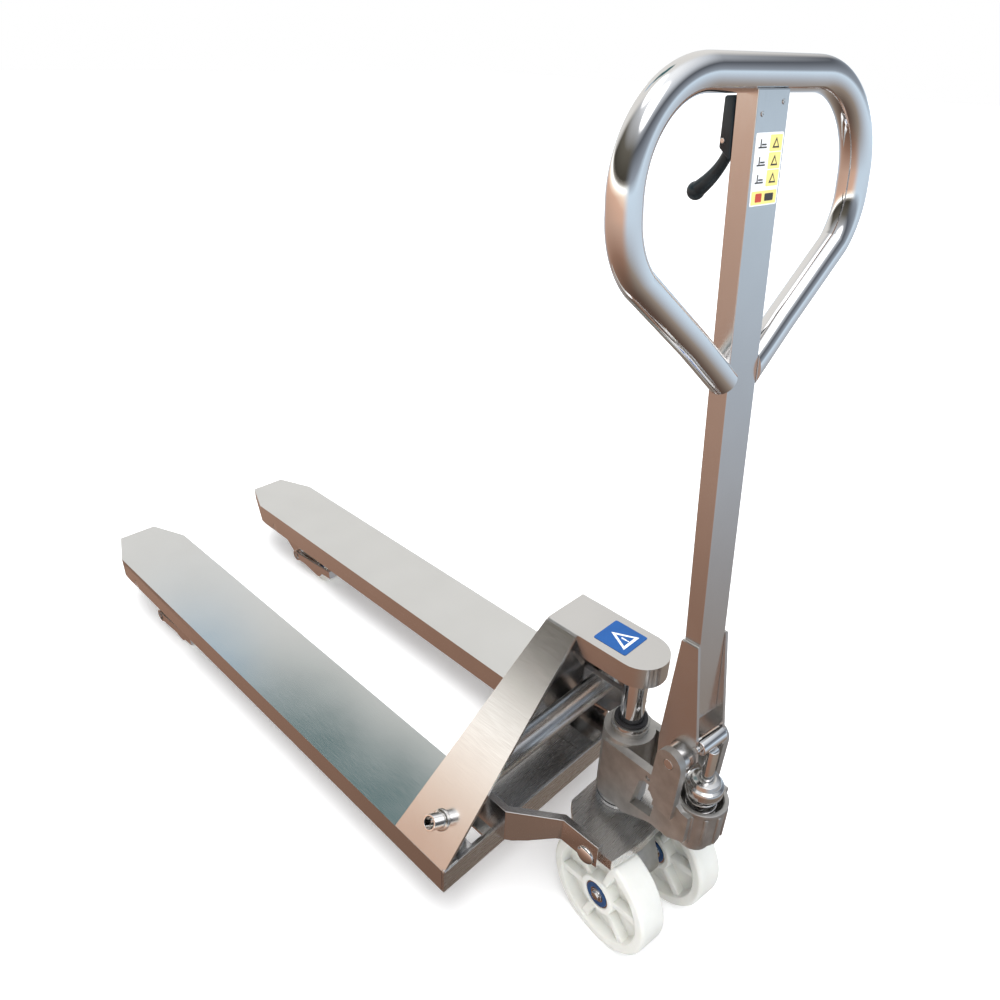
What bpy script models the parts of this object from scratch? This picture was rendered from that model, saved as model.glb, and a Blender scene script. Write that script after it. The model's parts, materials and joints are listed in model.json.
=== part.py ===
"""A stainless-steel hand pallet truck: lift frame with two forks, rocker and push rods,
roller brackets, hydraulic pump head with steering wheels, and a tilting mast with its
release lever. Metres, +Z up, +X along the forks, +Y to the near side."""

import math

import bmesh
import bpy
from mathutils import Matrix, Vector

# ---------------------------------------------------------------- driving dimensions
GAP = 0.0003                      # clearance kept between neighbouring pieces
FORK_LENGTH = 1.150               # headboard face to fork tip
OVERALL_WIDTH = 0.540             # across both forks
FORK_WIDTH = 0.160
FORK_TOP = 0.150                  # height of the load face in the stored, half-raised state
FORK_DEPTH = 0.050                # depth of a fork's channel
SHEET = 0.005                     # fork sheet thickness
FRAME_REAR = -0.120               # rear face of the cross member
NOSE_LENGTH = 0.093               # length of the chamfered fork nose
NOSE_INSET = 0.037                # how far each nose chamfer comes in

STEER_X = -0.248                  # steering and lift axis
STEER_ANGLE = math.radians(-7.3)  # the head is stored slightly turned
WHEEL_RADIUS = 0.100
WHEEL_WIDTH = 0.050
WHEEL_OFFSET = 0.067              # wheel centre to the truck's middle
WHEEL_TRAIL = 0.056               # axle behind the steering axis
AXLE_RADIUS = 0.010
WHEEL_SIDES, ROLLER_SIDES = 30, 22

PLATE_BOTTOM, PLATE_TOP = 0.203, 0.223        # base plate under the pump
PIN_X, PIN_Z = -0.279, 0.213                  # rocker pins in the base plate's edges
SHAFT_X, SHAFT_Z = -0.068, 0.2205             # torsion shaft in the frame
ROD_LUG = 0.084                               # torsion shaft to push-rod pin

ROLLER_RADIUS = 0.041
ROLLER_X, ROLLER_Z = 0.8345, ROLLER_RADIUS    # load roller axle
ARM_LENGTH, ARM_ANGLE = 0.170, math.radians(23.9)
ROD_HOLE, ROD_HOLE_ANGLE = 0.095, math.radians(40.0)

LUG_TOP, LUG_THICKNESS, LUG_RADIUS = 0.522, 0.035, 0.042
LUG_FRONT, STRIP_TOP_REAR = -0.104, -0.162    # where the headboard meets the lug
SOCKET, SOCKET_TILT = (-0.077, 0.236, 0.2057), math.radians(-58.66)

PISTON_RADIUS = 0.018
BODY_BOTTOM, BODY_TOP, COLLAR_TOP = 0.2405, 0.372, 0.388
PLUNGER_BACK = 0.1445                         # plunger axis behind the steering axis
PLUNGER_RADIUS = 0.0085
VALVE_X, VALVE_Z = -0.080, 0.3605             # valve lever's trunnion, from the steering axis
PIVOT_BACK, PIVOT_Z = 0.1137, 0.425           # mast pivot
MAST_LEAN = math.radians(5.24)                # the mast leans over the forks
MAST_WIDTH, MAST_DEPTH, MAST_WALL = 0.050, 0.025, 0.0025
MAST_FOOT, MAST_HEAD = 0.065, 0.8205          # tube ends, measured from the pivot
LOOP_RADIUS, LOOP_TOP = 0.017, 0.834           # handle tube, and the middle of its top bar
BRACKET_PIN_RADIUS = 0.010
ROD_RADIUS = 0.008
ROD_START = 0.030           # where the push rod's bar starts, ahead of its two tines
ROLLER_AXLE_RADIUS = 0.008
LINK_PIN_RADIUS = 0.006
AXLE_HEAD_RADIUS = 0.015
PRESS_PIN_RADIUS = 0.005
RELEASE_ROD_RADIUS = 0.0025
PRESS_X, PRESS_Z, PRESS_RADIUS = -0.0262, 0.0307, 0.011

# ---------------------------------------------------------------- materials
STAINLESS = ("stainless_satin", (0.62, 0.60, 0.58), 0.32, 1.0)
POLISHED = ("stainless_polished", (0.78, 0.78, 0.78), 0.12, 1.0)
CASTING = ("cast_stainless", (0.50, 0.48, 0.45), 0.50, 1.0)
NYLON = ("white_nylon", (0.90, 0.90, 0.86), 0.45, 0.0)
BLACK = ("black_plastic", (0.03, 0.035, 0.04), 0.45, 0.0)
BEARING = ("bearing_seal", (0.03, 0.09, 0.25), 0.40, 0.2)


def material(spec):
    name, colour, roughness, metallic = spec
    found = bpy.data.materials.get(name)
    if found:
        return found
    made = bpy.data.materials.new(name)
    made.use_nodes = True
    shader = made.node_tree.nodes["Principled BSDF"]
    shader.inputs["Base Color"].default_value = (*colour, 1.0)
    shader.inputs["Roughness"].default_value = roughness
    shader.inputs["Metallic"].default_value = metallic
    return made


# ---------------------------------------------------------------- scene and helpers
def clear_scene():
    for obj in list(bpy.data.objects):
        bpy.data.objects.remove(obj)


def collection(name):
    made = bpy.data.collections.new(name)
    bpy.context.scene.collection.children.link(made)
    return made


clear_scene()
TRUCK = collection("pallet_jack")
TOOLS = collection("cutters")


def empty(name, parent=None, location=(0, 0, 0), rotation=(0, 0, 0)):
    made = bpy.data.objects.new(name, None)
    TRUCK.objects.link(made)
    made.parent = parent
    made.location = location
    made.rotation_euler = rotation
    return made


ASSEMBLY = empty("assembly")
HEAD = empty("steer_frame", ASSEMBLY, (STEER_X, 0, 0), (0, 0, STEER_ANGLE))
MAST = empty("mast_frame", HEAD, (-PIVOT_BACK, 0, PIVOT_Z), (0, MAST_LEAN, 0))


def place(obj, spec, parent, location=(0, 0, 0), rotation=(0, 0, 0)):
    """Links a finished object, with its material, under its parent."""
    TRUCK.objects.link(obj)
    obj.parent = parent or ASSEMBLY
    obj.location = location
    obj.rotation_euler = rotation
    obj.data.materials.append(material(spec))
    return obj


def from_bmesh(name, mesh_builder):
    mesh = bpy.data.meshes.new(name)
    mesh_builder.to_mesh(mesh)
    mesh_builder.free()
    return bpy.data.objects.new(name, mesh)


def shade_round(obj):
    obj.data.shade_smooth()
    obj.data.set_sharp_from_angle(angle=math.radians(35))


def box(name, low, high, spec, parent=None):
    """A block between two corners; its origin is its centre."""
    low, high = Vector(low), Vector(high)
    builder = bmesh.new()
    bmesh.ops.create_cube(builder, size=1.0)
    bmesh.ops.scale(builder, vec=high - low, verts=builder.verts)
    return place(from_bmesh(name, builder), spec, parent, (low + high) / 2)


AXIS_TURN = {"x": (0, math.pi / 2, 0), "y": (math.pi / 2, 0, 0), "z": (0, 0, 0)}


def rod(name, radius, length, centre, axis, spec, parent=None, sides=20):
    """A round bar centred on a point."""
    builder = bmesh.new()
    bmesh.ops.create_cone(builder, cap_ends=True, segments=sides,
                          radius1=radius, radius2=radius, depth=length)
    obj = from_bmesh(name, builder)
    shade_round(obj)
    return place(obj, spec, parent, centre, AXIS_TURN[axis])


def turned(name, profile, centre, axis, spec, parent=None, steps=20):
    """A turned piece. The closed profile is (radius, height) pairs, down its outer side first."""
    mesh = bpy.data.meshes.new(name)
    points = [(radius, 0, height) for radius, height in profile]
    edges = [(i, (i + 1) % len(points)) for i in range(len(points))]
    mesh.from_pydata(points, edges, [])
    obj = bpy.data.objects.new(name, mesh)
    screw = obj.modifiers.new("turn", "SCREW")
    screw.steps = screw.render_steps = steps
    screw.use_merge_vertices = True
    screw.merge_threshold = 0.00001
    screw.use_smooth_shade = False
    return place(obj, spec, parent, centre, AXIS_TURN[axis])


def ring(name, outer, inner, length, centre, axis, spec, parent=None, steps=20):
    half = length / 2
    profile = [(outer, half), (outer, -half), (inner, -half), (inner, half)]
    return turned(name, profile, centre, axis, spec, parent, steps)


FACE_TURN = {"xy": (0, 0, 0), "xz": (math.pi / 2, 0, 0), "yz": (math.pi / 2, 0, math.pi / 2)}


def solid_curve(obj):
    """Turns a filled curve into a closed mesh, so that it can be cut or joined."""
    bpy.context.view_layer.update()
    graph = bpy.context.evaluated_depsgraph_get()
    mesh = bpy.data.meshes.new_from_object(obj.evaluated_get(graph))
    builder = bmesh.new()
    builder.from_mesh(mesh)
    bmesh.ops.remove_doubles(builder, verts=builder.verts, dist=0.00001)
    builder.to_mesh(mesh)
    builder.free()
    name, parent = obj.name, obj.parent
    location, rotation = obj.location.copy(), obj.rotation_euler.copy()
    bpy.data.objects.remove(obj)
    made = bpy.data.objects.new(name, mesh)
    TRUCK.objects.link(made)
    made.parent = parent
    made.location = location
    made.rotation_euler = rotation
    return made


def plate(name, outline, thickness, plane, offset, spec, parent=None):
    """A flat outline in a plane, with its thickness centred on the plane's offset."""
    curve = bpy.data.curves.new(name, "CURVE")
    curve.dimensions = "2D"
    curve.fill_mode = "BOTH"
    curve.extrude = thickness / 2
    spline = curve.splines.new("POLY")
    spline.points.add(len(outline) - 1)
    for point, (across, up) in zip(spline.points, outline):
        point.co = (across, up, 0, 1)
    spline.use_cyclic_u = True
    location = {"xy": (0, 0, offset), "xz": (0, offset, 0), "yz": (offset, 0, 0)}[plane]
    obj = place(bpy.data.objects.new(name, curve), spec, parent, location, FACE_TURN[plane])
    return solid_curve(obj)


def arc(centre, radius, start, end, count):
    """Points along an arc, in degrees, both ends included."""
    turns = [math.radians(start + (end - start) * i / count) for i in range(count + 1)]
    return [(centre[0] + radius * math.cos(t), centre[1] + radius * math.sin(t)) for t in turns]


def as_tool(obj):
    """Hides a cutter or a shape that is joined into another."""
    for holder in list(obj.users_collection):
        holder.objects.unlink(obj)
    TOOLS.objects.link(obj)
    obj.hide_render = True
    obj.display_type = "WIRE"
    return obj


def boolean(target, tool, operation):
    modifier = target.modifiers.new(tool.name, "BOOLEAN")
    modifier.operation = operation
    modifier.object = as_tool(tool)
    modifier.solver = "EXACT"


def cut(target, *tools):
    for tool in tools:
        boolean(target, tool, "DIFFERENCE")


def join(target, *tools):
    for tool in tools:
        boolean(target, tool, "UNION")


def bar_path(name, points, radius, spec, parent=None, sides_resolution=3):
    """A round bar or tube along points."""
    curve = bpy.data.curves.new(name, "CURVE")
    curve.dimensions = "3D"
    curve.bevel_depth = radius
    curve.bevel_resolution = sides_resolution
    curve.use_fill_caps = True
    spline = curve.splines.new("POLY")
    spline.points.add(len(points) - 1)
    for point, position in zip(spline.points, points):
        point.co = (*position, 1)
    return place(bpy.data.objects.new(name, curve), spec, parent)


SIDES = (("near", 1), ("far", -1))


# ---------------------------------------------------------------- lift frame
def fork_outline(inset):
    """Half-symmetric outline of a fork seen from above, about the fork's own middle."""
    half = FORK_WIDTH / 2 - inset
    tip = half - NOSE_INSET
    start, end = FRAME_REAR + SHEET + GAP, FORK_LENGTH - inset
    return [(start, -half), (FORK_LENGTH - NOSE_LENGTH, -half), (end, -tip),
            (end, tip), (FORK_LENGTH - NOSE_LENGTH, half), (start, half)]


def fork(side, sign):
    """An inverted channel with a chamfered nose whose underside rises."""
    middle = sign * (OVERALL_WIDTH - FORK_WIDTH) / 2
    low = FORK_TOP - FORK_DEPTH
    obj = plate(f"fork_{side}", fork_outline(0), FORK_DEPTH, "xy", FORK_TOP - FORK_DEPTH / 2, STAINLESS)
    obj.location.y = middle
    hollow = plate(f"fork_hollow_{side}", fork_outline(SHEET), FORK_DEPTH, "xy",
                   FORK_TOP - FORK_DEPTH / 2 - SHEET, STAINLESS)
    hollow.location.y = middle
    nose = plate(f"nose_cut_{side}", [(FORK_LENGTH - 0.16, low - 0.01), (FORK_LENGTH + 0.02, low - 0.01),
                                      (FORK_LENGTH + 0.02, low + 0.024), (FORK_LENGTH - 0.01, low + 0.020),
                                      (FORK_LENGTH - 0.11, low), (FORK_LENGTH - 0.16, low)],
                 FORK_WIDTH + 0.02, "xz", middle, STAINLESS)
    slot = box(f"lug_slot_{side}", (FRAME_REAR + 0.008, middle - 0.0125, low + 0.02),
               (-0.012, middle + 0.0125, FORK_TOP + 0.01), STAINLESS)
    pivot_x = ROLLER_X + ARM_LENGTH * math.cos(ARM_ANGLE)
    pivot_z = ROLLER_Z + ARM_LENGTH * math.sin(ARM_ANGLE)
    pivot = rod(f"pivot_hole_{side}", 0.0103, FORK_WIDTH + 0.02, (pivot_x, middle, pivot_z), "y", STAINLESS)
    cut(obj, hollow, nose, slot, pivot)
    pin = rod(f"bracket_pin_{side}", BRACKET_PIN_RADIUS, FORK_WIDTH - 0.001, (pivot_x, middle,
              pivot_z), "y", POLISHED, sides=20)
    return obj, pin


def strip_plane(z):
    """Height to half-width of the headboard's inclined side strips."""
    share = (z - FORK_TOP) / (LUG_TOP - FORK_TOP)
    foot, head = OVERALL_WIDTH / 2, LUG_RADIUS + 0.0015
    return foot + (head - foot) * share


def lofted_strip(name, corners, thickness, inward, spec):
    """A flat four-cornered sheet given its thickness towards a point inside."""
    builder = bmesh.new()
    verts = [builder.verts.new(corner) for corner in corners]
    face = builder.faces.new(verts)
    builder.normal_update()
    if face.normal.dot(Vector(inward) - face.calc_center_median()) > 0:
        face.normal_flip()
    obj = from_bmesh(name, builder)
    wall = obj.modifiers.new("wall", "SOLIDIFY")
    wall.thickness = thickness
    wall.offset = -1
    return place(obj, spec, None)


def headboard():
    """Inclined front wall, with a side strip on each edge, rising to the lug."""
    inside = (-0.08, 0, 0.25)
    below = box("room_below", (-0.20, -0.30, 0.08), (0.05, 0.30, FORK_TOP + GAP), STAINLESS)
    lug = box("room_for_lug", (-0.30, -LUG_RADIUS - GAP, LUG_TOP - LUG_THICKNESS - GAP),
              (LUG_FRONT + GAP, LUG_RADIUS + GAP, LUG_TOP + 0.01), STAINLESS)
    foot_z, top_z = FORK_TOP + GAP, LUG_TOP - 0.002
    for side, sign in SIDES:
        corners = [(0, sign * strip_plane(foot_z), foot_z),
                   (FRAME_REAR, sign * strip_plane(foot_z), foot_z),
                   (STRIP_TOP_REAR, sign * strip_plane(top_z), top_z),
                   (LUG_FRONT, sign * strip_plane(top_z), top_z)]
        strip = lofted_strip(f"side_strip_{side}", corners, 0.006, inside, STAINLESS)
        cut(strip, below, lug)
        if side == "near":
            hole = rod("socket_hole", 0.0130 + 2 * GAP, 0.05, SOCKET, "z", STAINLESS)
            hole.rotation_euler = (SOCKET_TILT, 0, 0)
            cut(strip, hole)
    wall_top = LUG_TOP - LUG_THICKNESS - 0.001
    lean = (LUG_FRONT - 0.0) / (LUG_TOP - FORK_TOP)
    inset = 0.0085
    def wall_x(z):
        return -0.001 + lean * (z - FORK_TOP)
    corners = [(wall_x(foot_z), strip_plane(foot_z) - inset, foot_z),
               (wall_x(foot_z), -strip_plane(foot_z) + inset, foot_z),
               (wall_x(wall_top), -strip_plane(wall_top) + inset, wall_top),
               (wall_x(wall_top), strip_plane(wall_top) - inset, wall_top)]
    wall = lofted_strip("front_wall", corners, 0.004, inside, STAINLESS)
    cut(wall, below)


def side_socket():
    """A short polished tube welded square to the near strip."""
    profile = [(0.0130, 0.030), (0.0130, -0.008), (0.0098, -0.008), (0.0098, 0.030)]
    obj = turned("side_socket", profile, SOCKET, "z", POLISHED, steps=20)
    obj.rotation_euler = (SOCKET_TILT, 0, 0)


def top_lug():
    """Thick plate with a round end over the piston."""
    nose = arc((STEER_X, 0), LUG_RADIUS, 90, 270, 16)
    obj = plate("top_lug", nose + [(LUG_FRONT, -LUG_RADIUS), (LUG_FRONT, LUG_RADIUS)],
                LUG_THICKNESS, "xy", LUG_TOP - LUG_THICKNESS / 2, STAINLESS)
    seat = rod("piston_seat", PISTON_RADIUS + GAP, 0.040, (STEER_X, 0, LUG_TOP - LUG_THICKNESS),
               "z", STAINLESS)
    cut(obj, seat)


def cross_member():
    """Angle section: a rear face across both forks and a floor between them."""
    low = FORK_TOP - FORK_DEPTH
    half = OVERALL_WIDTH / 2
    gap_half = half - FORK_WIDTH - GAP
    obj = box("cross_member", (FRAME_REAR, -half, low), (FRAME_REAR + SHEET, half, FORK_TOP), STAINLESS)
    floor = box("floor_leg", (FRAME_REAR + 0.001, -gap_half, low), (-0.004, gap_half, low + 0.004), STAINLESS)
    join(obj, floor)


def torsion_shaft():
    """Fixed shaft that the rocker turns on, held by a bracket on each fork."""
    rod("torsion_shaft", 0.012, 0.423, (SHAFT_X, 0, SHAFT_Z), "y", POLISHED)
    for side, sign in SIDES:
        outline = [(SHAFT_X - 0.030, FORK_TOP + GAP), (SHAFT_X + 0.030, FORK_TOP + GAP),
                   *arc((SHAFT_X, SHAFT_Z), 0.018, 10, 170, 8)]
        obj = plate(f"shaft_bracket_{side}", outline, 0.005, "xz", sign * 0.206, STAINLESS)
        hole = rod(f"shaft_hole_{side}", 0.012 + GAP, 0.03, (SHAFT_X, sign * 0.206, SHAFT_Z), "y", STAINLESS)
        cut(obj, hole)


def lift_piston():
    """Chromed rod from the lug down into the pump."""
    low, high = 0.318, LUG_TOP - 0.0160
    rod("lift_piston", PISTON_RADIUS, high - low, (STEER_X, 0, (low + high) / 2), "z", POLISHED, sides=32)


# ---------------------------------------------------------------- rocker and push rods
def rocker_arm(side, sign):
    """A bent plate from the torsion tube to the base plate's pin. It is drawn from above."""
    end = SHAFT_X + 0.032
    inner = [(-0.300, 0.1130), (-0.228, 0.1130), (-0.156, 0.1650), (end, 0.1650)]
    outer = [(end, 0.1770), (-0.160, 0.1770), (-0.232, 0.1250), (-0.300, 0.1250)]
    outline = [(x, sign * y) for x, y in inner + outer]
    height, middle = 0.066, PIN_Z + 0.002
    low = middle - height / 2
    obj = plate(f"rocker_arm_{side}", outline, height, "xy", middle, STAINLESS)
    wheel_room = plate(f"wheel_room_{side}", [(-0.310, low - 0.01), (-0.160, low - 0.01), (-0.170, low),
                                              (-0.190, low + 0.006), (-0.225, 0.2035), (-0.310, 0.2035)],
                       0.10, "xz", sign * 0.145, STAINLESS)
    tube_hole = rod(f"tube_hole_{side}", 0.023 + GAP, 0.03, (SHAFT_X, sign * 0.171, SHAFT_Z), "y", STAINLESS)
    slot = [*arc((PIN_X, PIN_Z), 0.0071, -90, 90, 8), *arc((PIN_X - 0.0095, PIN_Z), 0.0071, 90, 270, 8)]
    slot_tool = plate(f"pin_slot_{side}", slot, 0.03, "xz", sign * 0.119, STAINLESS)
    cut(obj, wheel_room, tube_hole, slot_tool)


def torsion_tube():
    ring("torsion_tube", 0.023, 0.012 + GAP, 0.404, (SHAFT_X, 0, SHAFT_Z), "y", STAINLESS)


def rod_lug(side, sign):
    """Short arm under the torsion tube that carries the push rod."""
    y = sign * 0.190
    outline = [*arc((SHAFT_X, SHAFT_Z), 0.032, 0, 180, 10), *arc((SHAFT_X, SHAFT_Z - ROD_LUG), 0.014,
               180, 360, 8)]
    obj = plate(f"rod_lug_{side}", outline, 0.008, "xz", y, STAINLESS)
    tube = rod(f"lug_tube_hole_{side}", 0.023 + GAP, 0.03, (SHAFT_X, y, SHAFT_Z), "y", STAINLESS)
    eye = rod(f"lug_eye_{side}", 0.0052, 0.03, (SHAFT_X, y, SHAFT_Z - ROD_LUG), "y", STAINLESS, sides=16)
    cut(obj, tube, eye)


def bracket_points():
    pivot = Vector((ROLLER_X + ARM_LENGTH * math.cos(ARM_ANGLE), 0,
                   ROLLER_Z + ARM_LENGTH * math.sin(ARM_ANGLE)))
    hole = pivot - Vector((ROD_HOLE * math.cos(ROD_HOLE_ANGLE), 0, ROD_HOLE * math.sin(ROD_HOLE_ANGLE)))
    return pivot, hole


def push_rod(side, sign):
    """A bar, forked at the rear for the torsion tube's lug and at the front around the roller bracket."""
    y = sign * 0.190
    rear = Vector((SHAFT_X, y, SHAFT_Z - ROD_LUG))
    front = bracket_points()[1] + Vector((0, y, 0))
    along = (front - rear).normalized()
    slope = -math.atan2(along.z, along.x)
    length = (front - rear).length
    frame = empty(f"push_rod_frame_{side}", ASSEMBLY, rear, (0, slope, 0))
    split = length - 0.148
    obj = rod(f"push_rod_{side}", ROD_RADIUS, split - ROD_START, ((split + ROD_START) / 2, 0, 0), "x",
              STAINLESS, frame, 16)
    for cheek in (-1, 1):
        offset = cheek * 0.0075
        tine = box(f"rod_tine_{side}_{cheek}", (-0.012, offset - 0.003, -0.008), (0.034,
                   offset + 0.003, 0.008),
                   STAINLESS, frame)
        join(obj, tine)
    neck = box(f"rod_neck_{side}", (0.020, -0.0105, -0.008), (0.036, 0.0105, 0.008), STAINLESS, frame)
    cross = box(f"rod_cross_{side}", (split - 0.008, -0.0665, -0.010), (split + 0.008, 0.0665, 0.010),
                STAINLESS,
                frame)
    join(obj, neck, cross)
    for cheek in (-1, 1):
        offset = cheek * 0.0640
        arm = box(f"rod_arm_{side}_{cheek}", (split, offset - 0.0025, -0.010), (length,
                  offset + 0.0025, 0.010),
                  STAINLESS, frame)
        eye = rod(f"rod_eye_{side}_{cheek}", 0.0145, 0.005, (length, offset, 0), "y", STAINLESS, frame, 20)
        join(obj, arm, eye)
    front_hole = rod(f"rod_front_hole_{side}", 0.0107, 0.16, (length, 0, 0), "y", STAINLESS, frame, 16)
    cut(obj, front_hole)
    rear_pin = rod(f"rod_rear_pin_{side}", 0.0049, 0.026, (0, 0, 0), "y", POLISHED, frame, 12)
    join(obj, rear_pin)


def roller_bracket(side, sign):
    """Two cheeks joined by a spacer tube round the pivot; the load roller sits between them."""
    y = sign * 0.190
    pivot, hole = bracket_points()
    roller = Vector((ROLLER_X, 0, ROLLER_Z))
    lean = math.degrees(math.atan2(pivot.z - roller.z, pivot.x - roller.x))
    outline = [*arc((pivot.x, pivot.z), 0.020, lean - 75, lean + 90, 8),
               *arc((roller.x, roller.z), 0.020, lean + 90, lean + 250, 8),
               *arc((hole.x, hole.z), 0.016, lean + 230, lean + 300, 3)]
    obj = plate(f"roller_bracket_{side}", outline, 0.006, "xz", y + 0.055, STAINLESS)
    other = plate(f"bracket_cheek_{side}", outline, 0.006, "xz", y - 0.055, STAINLESS)
    spacer = rod(f"bracket_spacer_{side}", 0.0155, 0.112, (pivot.x, y, pivot.z), "y", STAINLESS)
    join(obj, other, spacer)
    pivot_hole = rod(f"bracket_bore_{side}", 0.0103, 0.14, (pivot.x, y, pivot.z), "y", STAINLESS)
    axle_hole = rod(f"bracket_axle_hole_{side}", ROLLER_AXLE_RADIUS + GAP, 0.14, (roller.x, y,
                    roller.z), "y", STAINLESS, sides=20)
    pin_hole = rod(f"bracket_pin_hole_{side}", 0.0053, 0.14, (hole.x, y, hole.z), "y", STAINLESS, sides=16)
    cut(obj, pivot_hole, axle_hole, pin_hole)
    rod(f"rod_pin_{side}", 0.0050, 0.136, (hole.x, y, hole.z), "y", POLISHED, sides=12)
    rod(f"roller_axle_{side}", 0.0080, 0.120, (roller.x, y, roller.z), "y", POLISHED, sides=20)
    half, bevel = 0.0465, 0.004
    radius = ROLLER_RADIUS / math.cos(math.pi / ROLLER_SIDES)      # a flat side stands on the floor
    profile = [(radius - bevel, half), (radius, half - bevel), (radius, bevel - half), (radius - bevel,
               -half),
               (0.0080 + GAP, -half), (0.0080 + GAP, half)]
    turned(f"load_roller_{side}", profile, (roller.x, y, roller.z), "y", NYLON, steps=ROLLER_SIDES)


# ---------------------------------------------------------------- base plate
def base_plate():
    """Thick plate that the pump head turns on; the rocker pins screw into its edges."""
    corner = 0.112
    outline = [(-0.205, -0.070), (-0.205, 0.070), (-0.245, corner), (-0.318, corner),
               (-0.330, 0.050), (-0.330, -0.050), (-0.318, -corner), (-0.245, -corner)]
    obj = plate("base_plate", outline, PLATE_TOP - PLATE_BOTTOM, "xy", (PLATE_TOP + PLATE_BOTTOM) / 2,
                STAINLESS)
    stem = rod("stem_hole", 0.0245, 0.06, (STEER_X, 0, PLATE_TOP), "z", STAINLESS, sides=32)
    cut(obj, stem)
    for side, sign in SIDES:
        hole = rod(f"edge_hole_{side}", LINK_PIN_RADIUS + GAP, 0.040, (PIN_X, sign * 0.108, PIN_Z),
                   "y", STAINLESS, sides=20)
        cut(obj, hole)
        pin = rod(f"link_pin_{side}", 0.006, 0.0355, (PIN_X, sign * 0.1088, PIN_Z), "y", POLISHED, sides=20)
        head = rod(f"link_pin_head_{side}", 0.0155, 0.005, (PIN_X, sign * 0.12805, PIN_Z), "y", POLISHED)
        join(pin, head)
    ring("thrust_bearing", 0.038, 0.0255, BODY_BOTTOM - PLATE_TOP - 2 * GAP,
         (STEER_X, 0, (BODY_BOTTOM + PLATE_TOP) / 2), "z", CASTING)


# ---------------------------------------------------------------- pump head
def pump_body():
    """Casting: lift cylinder, two webs with the mast's ears, and the cup of the hand pump."""
    body = rod("pump_body", 0.040, BODY_TOP - BODY_BOTTOM, (0, 0, (BODY_TOP + BODY_BOTTOM) / 2), "z",
               CASTING, HEAD, 24)
    collar = rod("collar", 0.0285, 0.030, (0, 0, COLLAR_TOP - 0.015), "z", CASTING, HEAD, 24)
    back = PLUNGER_BACK
    cup = rod("cup", 0.036, 0.063, (-back, 0, 0.3215), "z", CASTING, HEAD, 24)
    boss = rod("cup_boss", 0.024, 0.030, (-back, 0, 0.281), "z", CASTING, HEAD, 24)
    join(body, collar, cup, boss)
    web_outline = [(0.010, 0.252), (0.010, 0.362), (-0.080, 0.372), (-0.100, 0.372), (-back, 0.350),
                   (-back - 0.012, 0.350), (-back - 0.012, 0.300), (-back + 0.015, 0.284), (-0.095, 0.280),
                   (-0.045, 0.252)]
    ear_outline = [(-PIVOT_BACK + 0.026, 0.330), *arc((-PIVOT_BACK, PIVOT_Z), 0.022, 0, 180, 10),
                   (-PIVOT_BACK - 0.020, 0.330)]
    for side, sign in SIDES:
        web = plate(f"pump_web_{side}", web_outline, 0.014, "xz", sign * 0.038, CASTING, HEAD)
        ear = plate(f"pump_ear_{side}", ear_outline, 0.012, "xz", sign * 0.0465, CASTING, HEAD)
        join(body, web, ear)
    window = [(-0.056, 0.285), (-0.066, 0.342), (-0.074, 0.350), (-0.092, 0.350), (-0.100, 0.340),
              (-0.095, 0.292)]
    window_tool = plate("pump_window", window, 0.12, "xz", 0, CASTING, HEAD)
    lift_bore = rod("lift_bore", PISTON_RADIUS + GAP, 0.20, (0, 0, 0.2505 + 0.10), "z", CASTING, HEAD, 24)
    spring_well = ring("spring_well", 0.0305, 0.0135, 0.030, (-back, 0, 0.304 + 0.015), "z", CASTING, HEAD)
    cup_bore = rod("cup_bore", 0.0305, 0.10, (-back, 0, 0.3205 + 0.05), "z", CASTING, HEAD, 24)
    pump_bore = rod("pump_bore", PLUNGER_RADIUS + GAP, 0.10, (-back, 0, 0.2700 + 0.05), "z", CASTING, HEAD)
    valve_bore = rod("valve_bore", 0.0043, 0.12, (VALVE_X, 0, VALVE_Z), "y", CASTING, HEAD, 16)
    pivot_bore = rod("pivot_bore", 0.008 + GAP, 0.14, (-PIVOT_BACK, 0, PIVOT_Z), "y", CASTING, HEAD, 20)
    cut(body, window_tool, lift_bore, spring_well, cup_bore, pump_bore, pivot_bore, valve_bore)
    ring("wiper_ring", 0.0255, PISTON_RADIUS + GAP, 0.004, (0, 0, COLLAR_TOP + 0.0023), "z", BLACK, HEAD)


def steering():
    """Stem through the base plate, the axle carrier between the wheels, axle and wheels."""
    axle_x, axle_z = -WHEEL_TRAIL, WHEEL_RADIUS
    outline = [(0.030, 0.1995), (-0.040, 0.1995), *arc((axle_x, axle_z), 0.024, 150, 330, 8), (0.030, 0.150)]
    carrier = plate("axle_carrier", outline, 0.060, "xz", 0, CASTING, HEAD)
    hole = rod("carrier_hole", AXLE_RADIUS + GAP, 0.10, (axle_x, 0, axle_z), "y", CASTING, HEAD)
    stem = rod("steer_stem", 0.024, 0.050, (0, 0, BODY_BOTTOM - GAP - 0.025), "z", CASTING, HEAD, 24)
    join(carrier, stem)
    cut(carrier, hole)
    axle = rod("steer_axle", AXLE_RADIUS, 0.192, (axle_x, 0, axle_z), "y", POLISHED, HEAD)
    for side, sign in SIDES:
        centre = sign * WHEEL_OFFSET
        steer_wheel(side, (axle_x, centre, axle_z))
        for place_name, offset in (("inner", -0.0165), ("outer", 0.0165)):
            ring(f"bearing_{side}_{place_name}", 0.0235, AXLE_RADIUS + GAP, 0.014,
                 (axle_x, centre + sign * offset, axle_z), "y", BEARING, HEAD, 20)
        head = rod(f"axle_head_{side}", AXLE_HEAD_RADIUS, 0.0040, (axle_x, sign * 0.0945, axle_z), "y",
                   POLISHED, HEAD, 20)
        join(axle, head)


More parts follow.
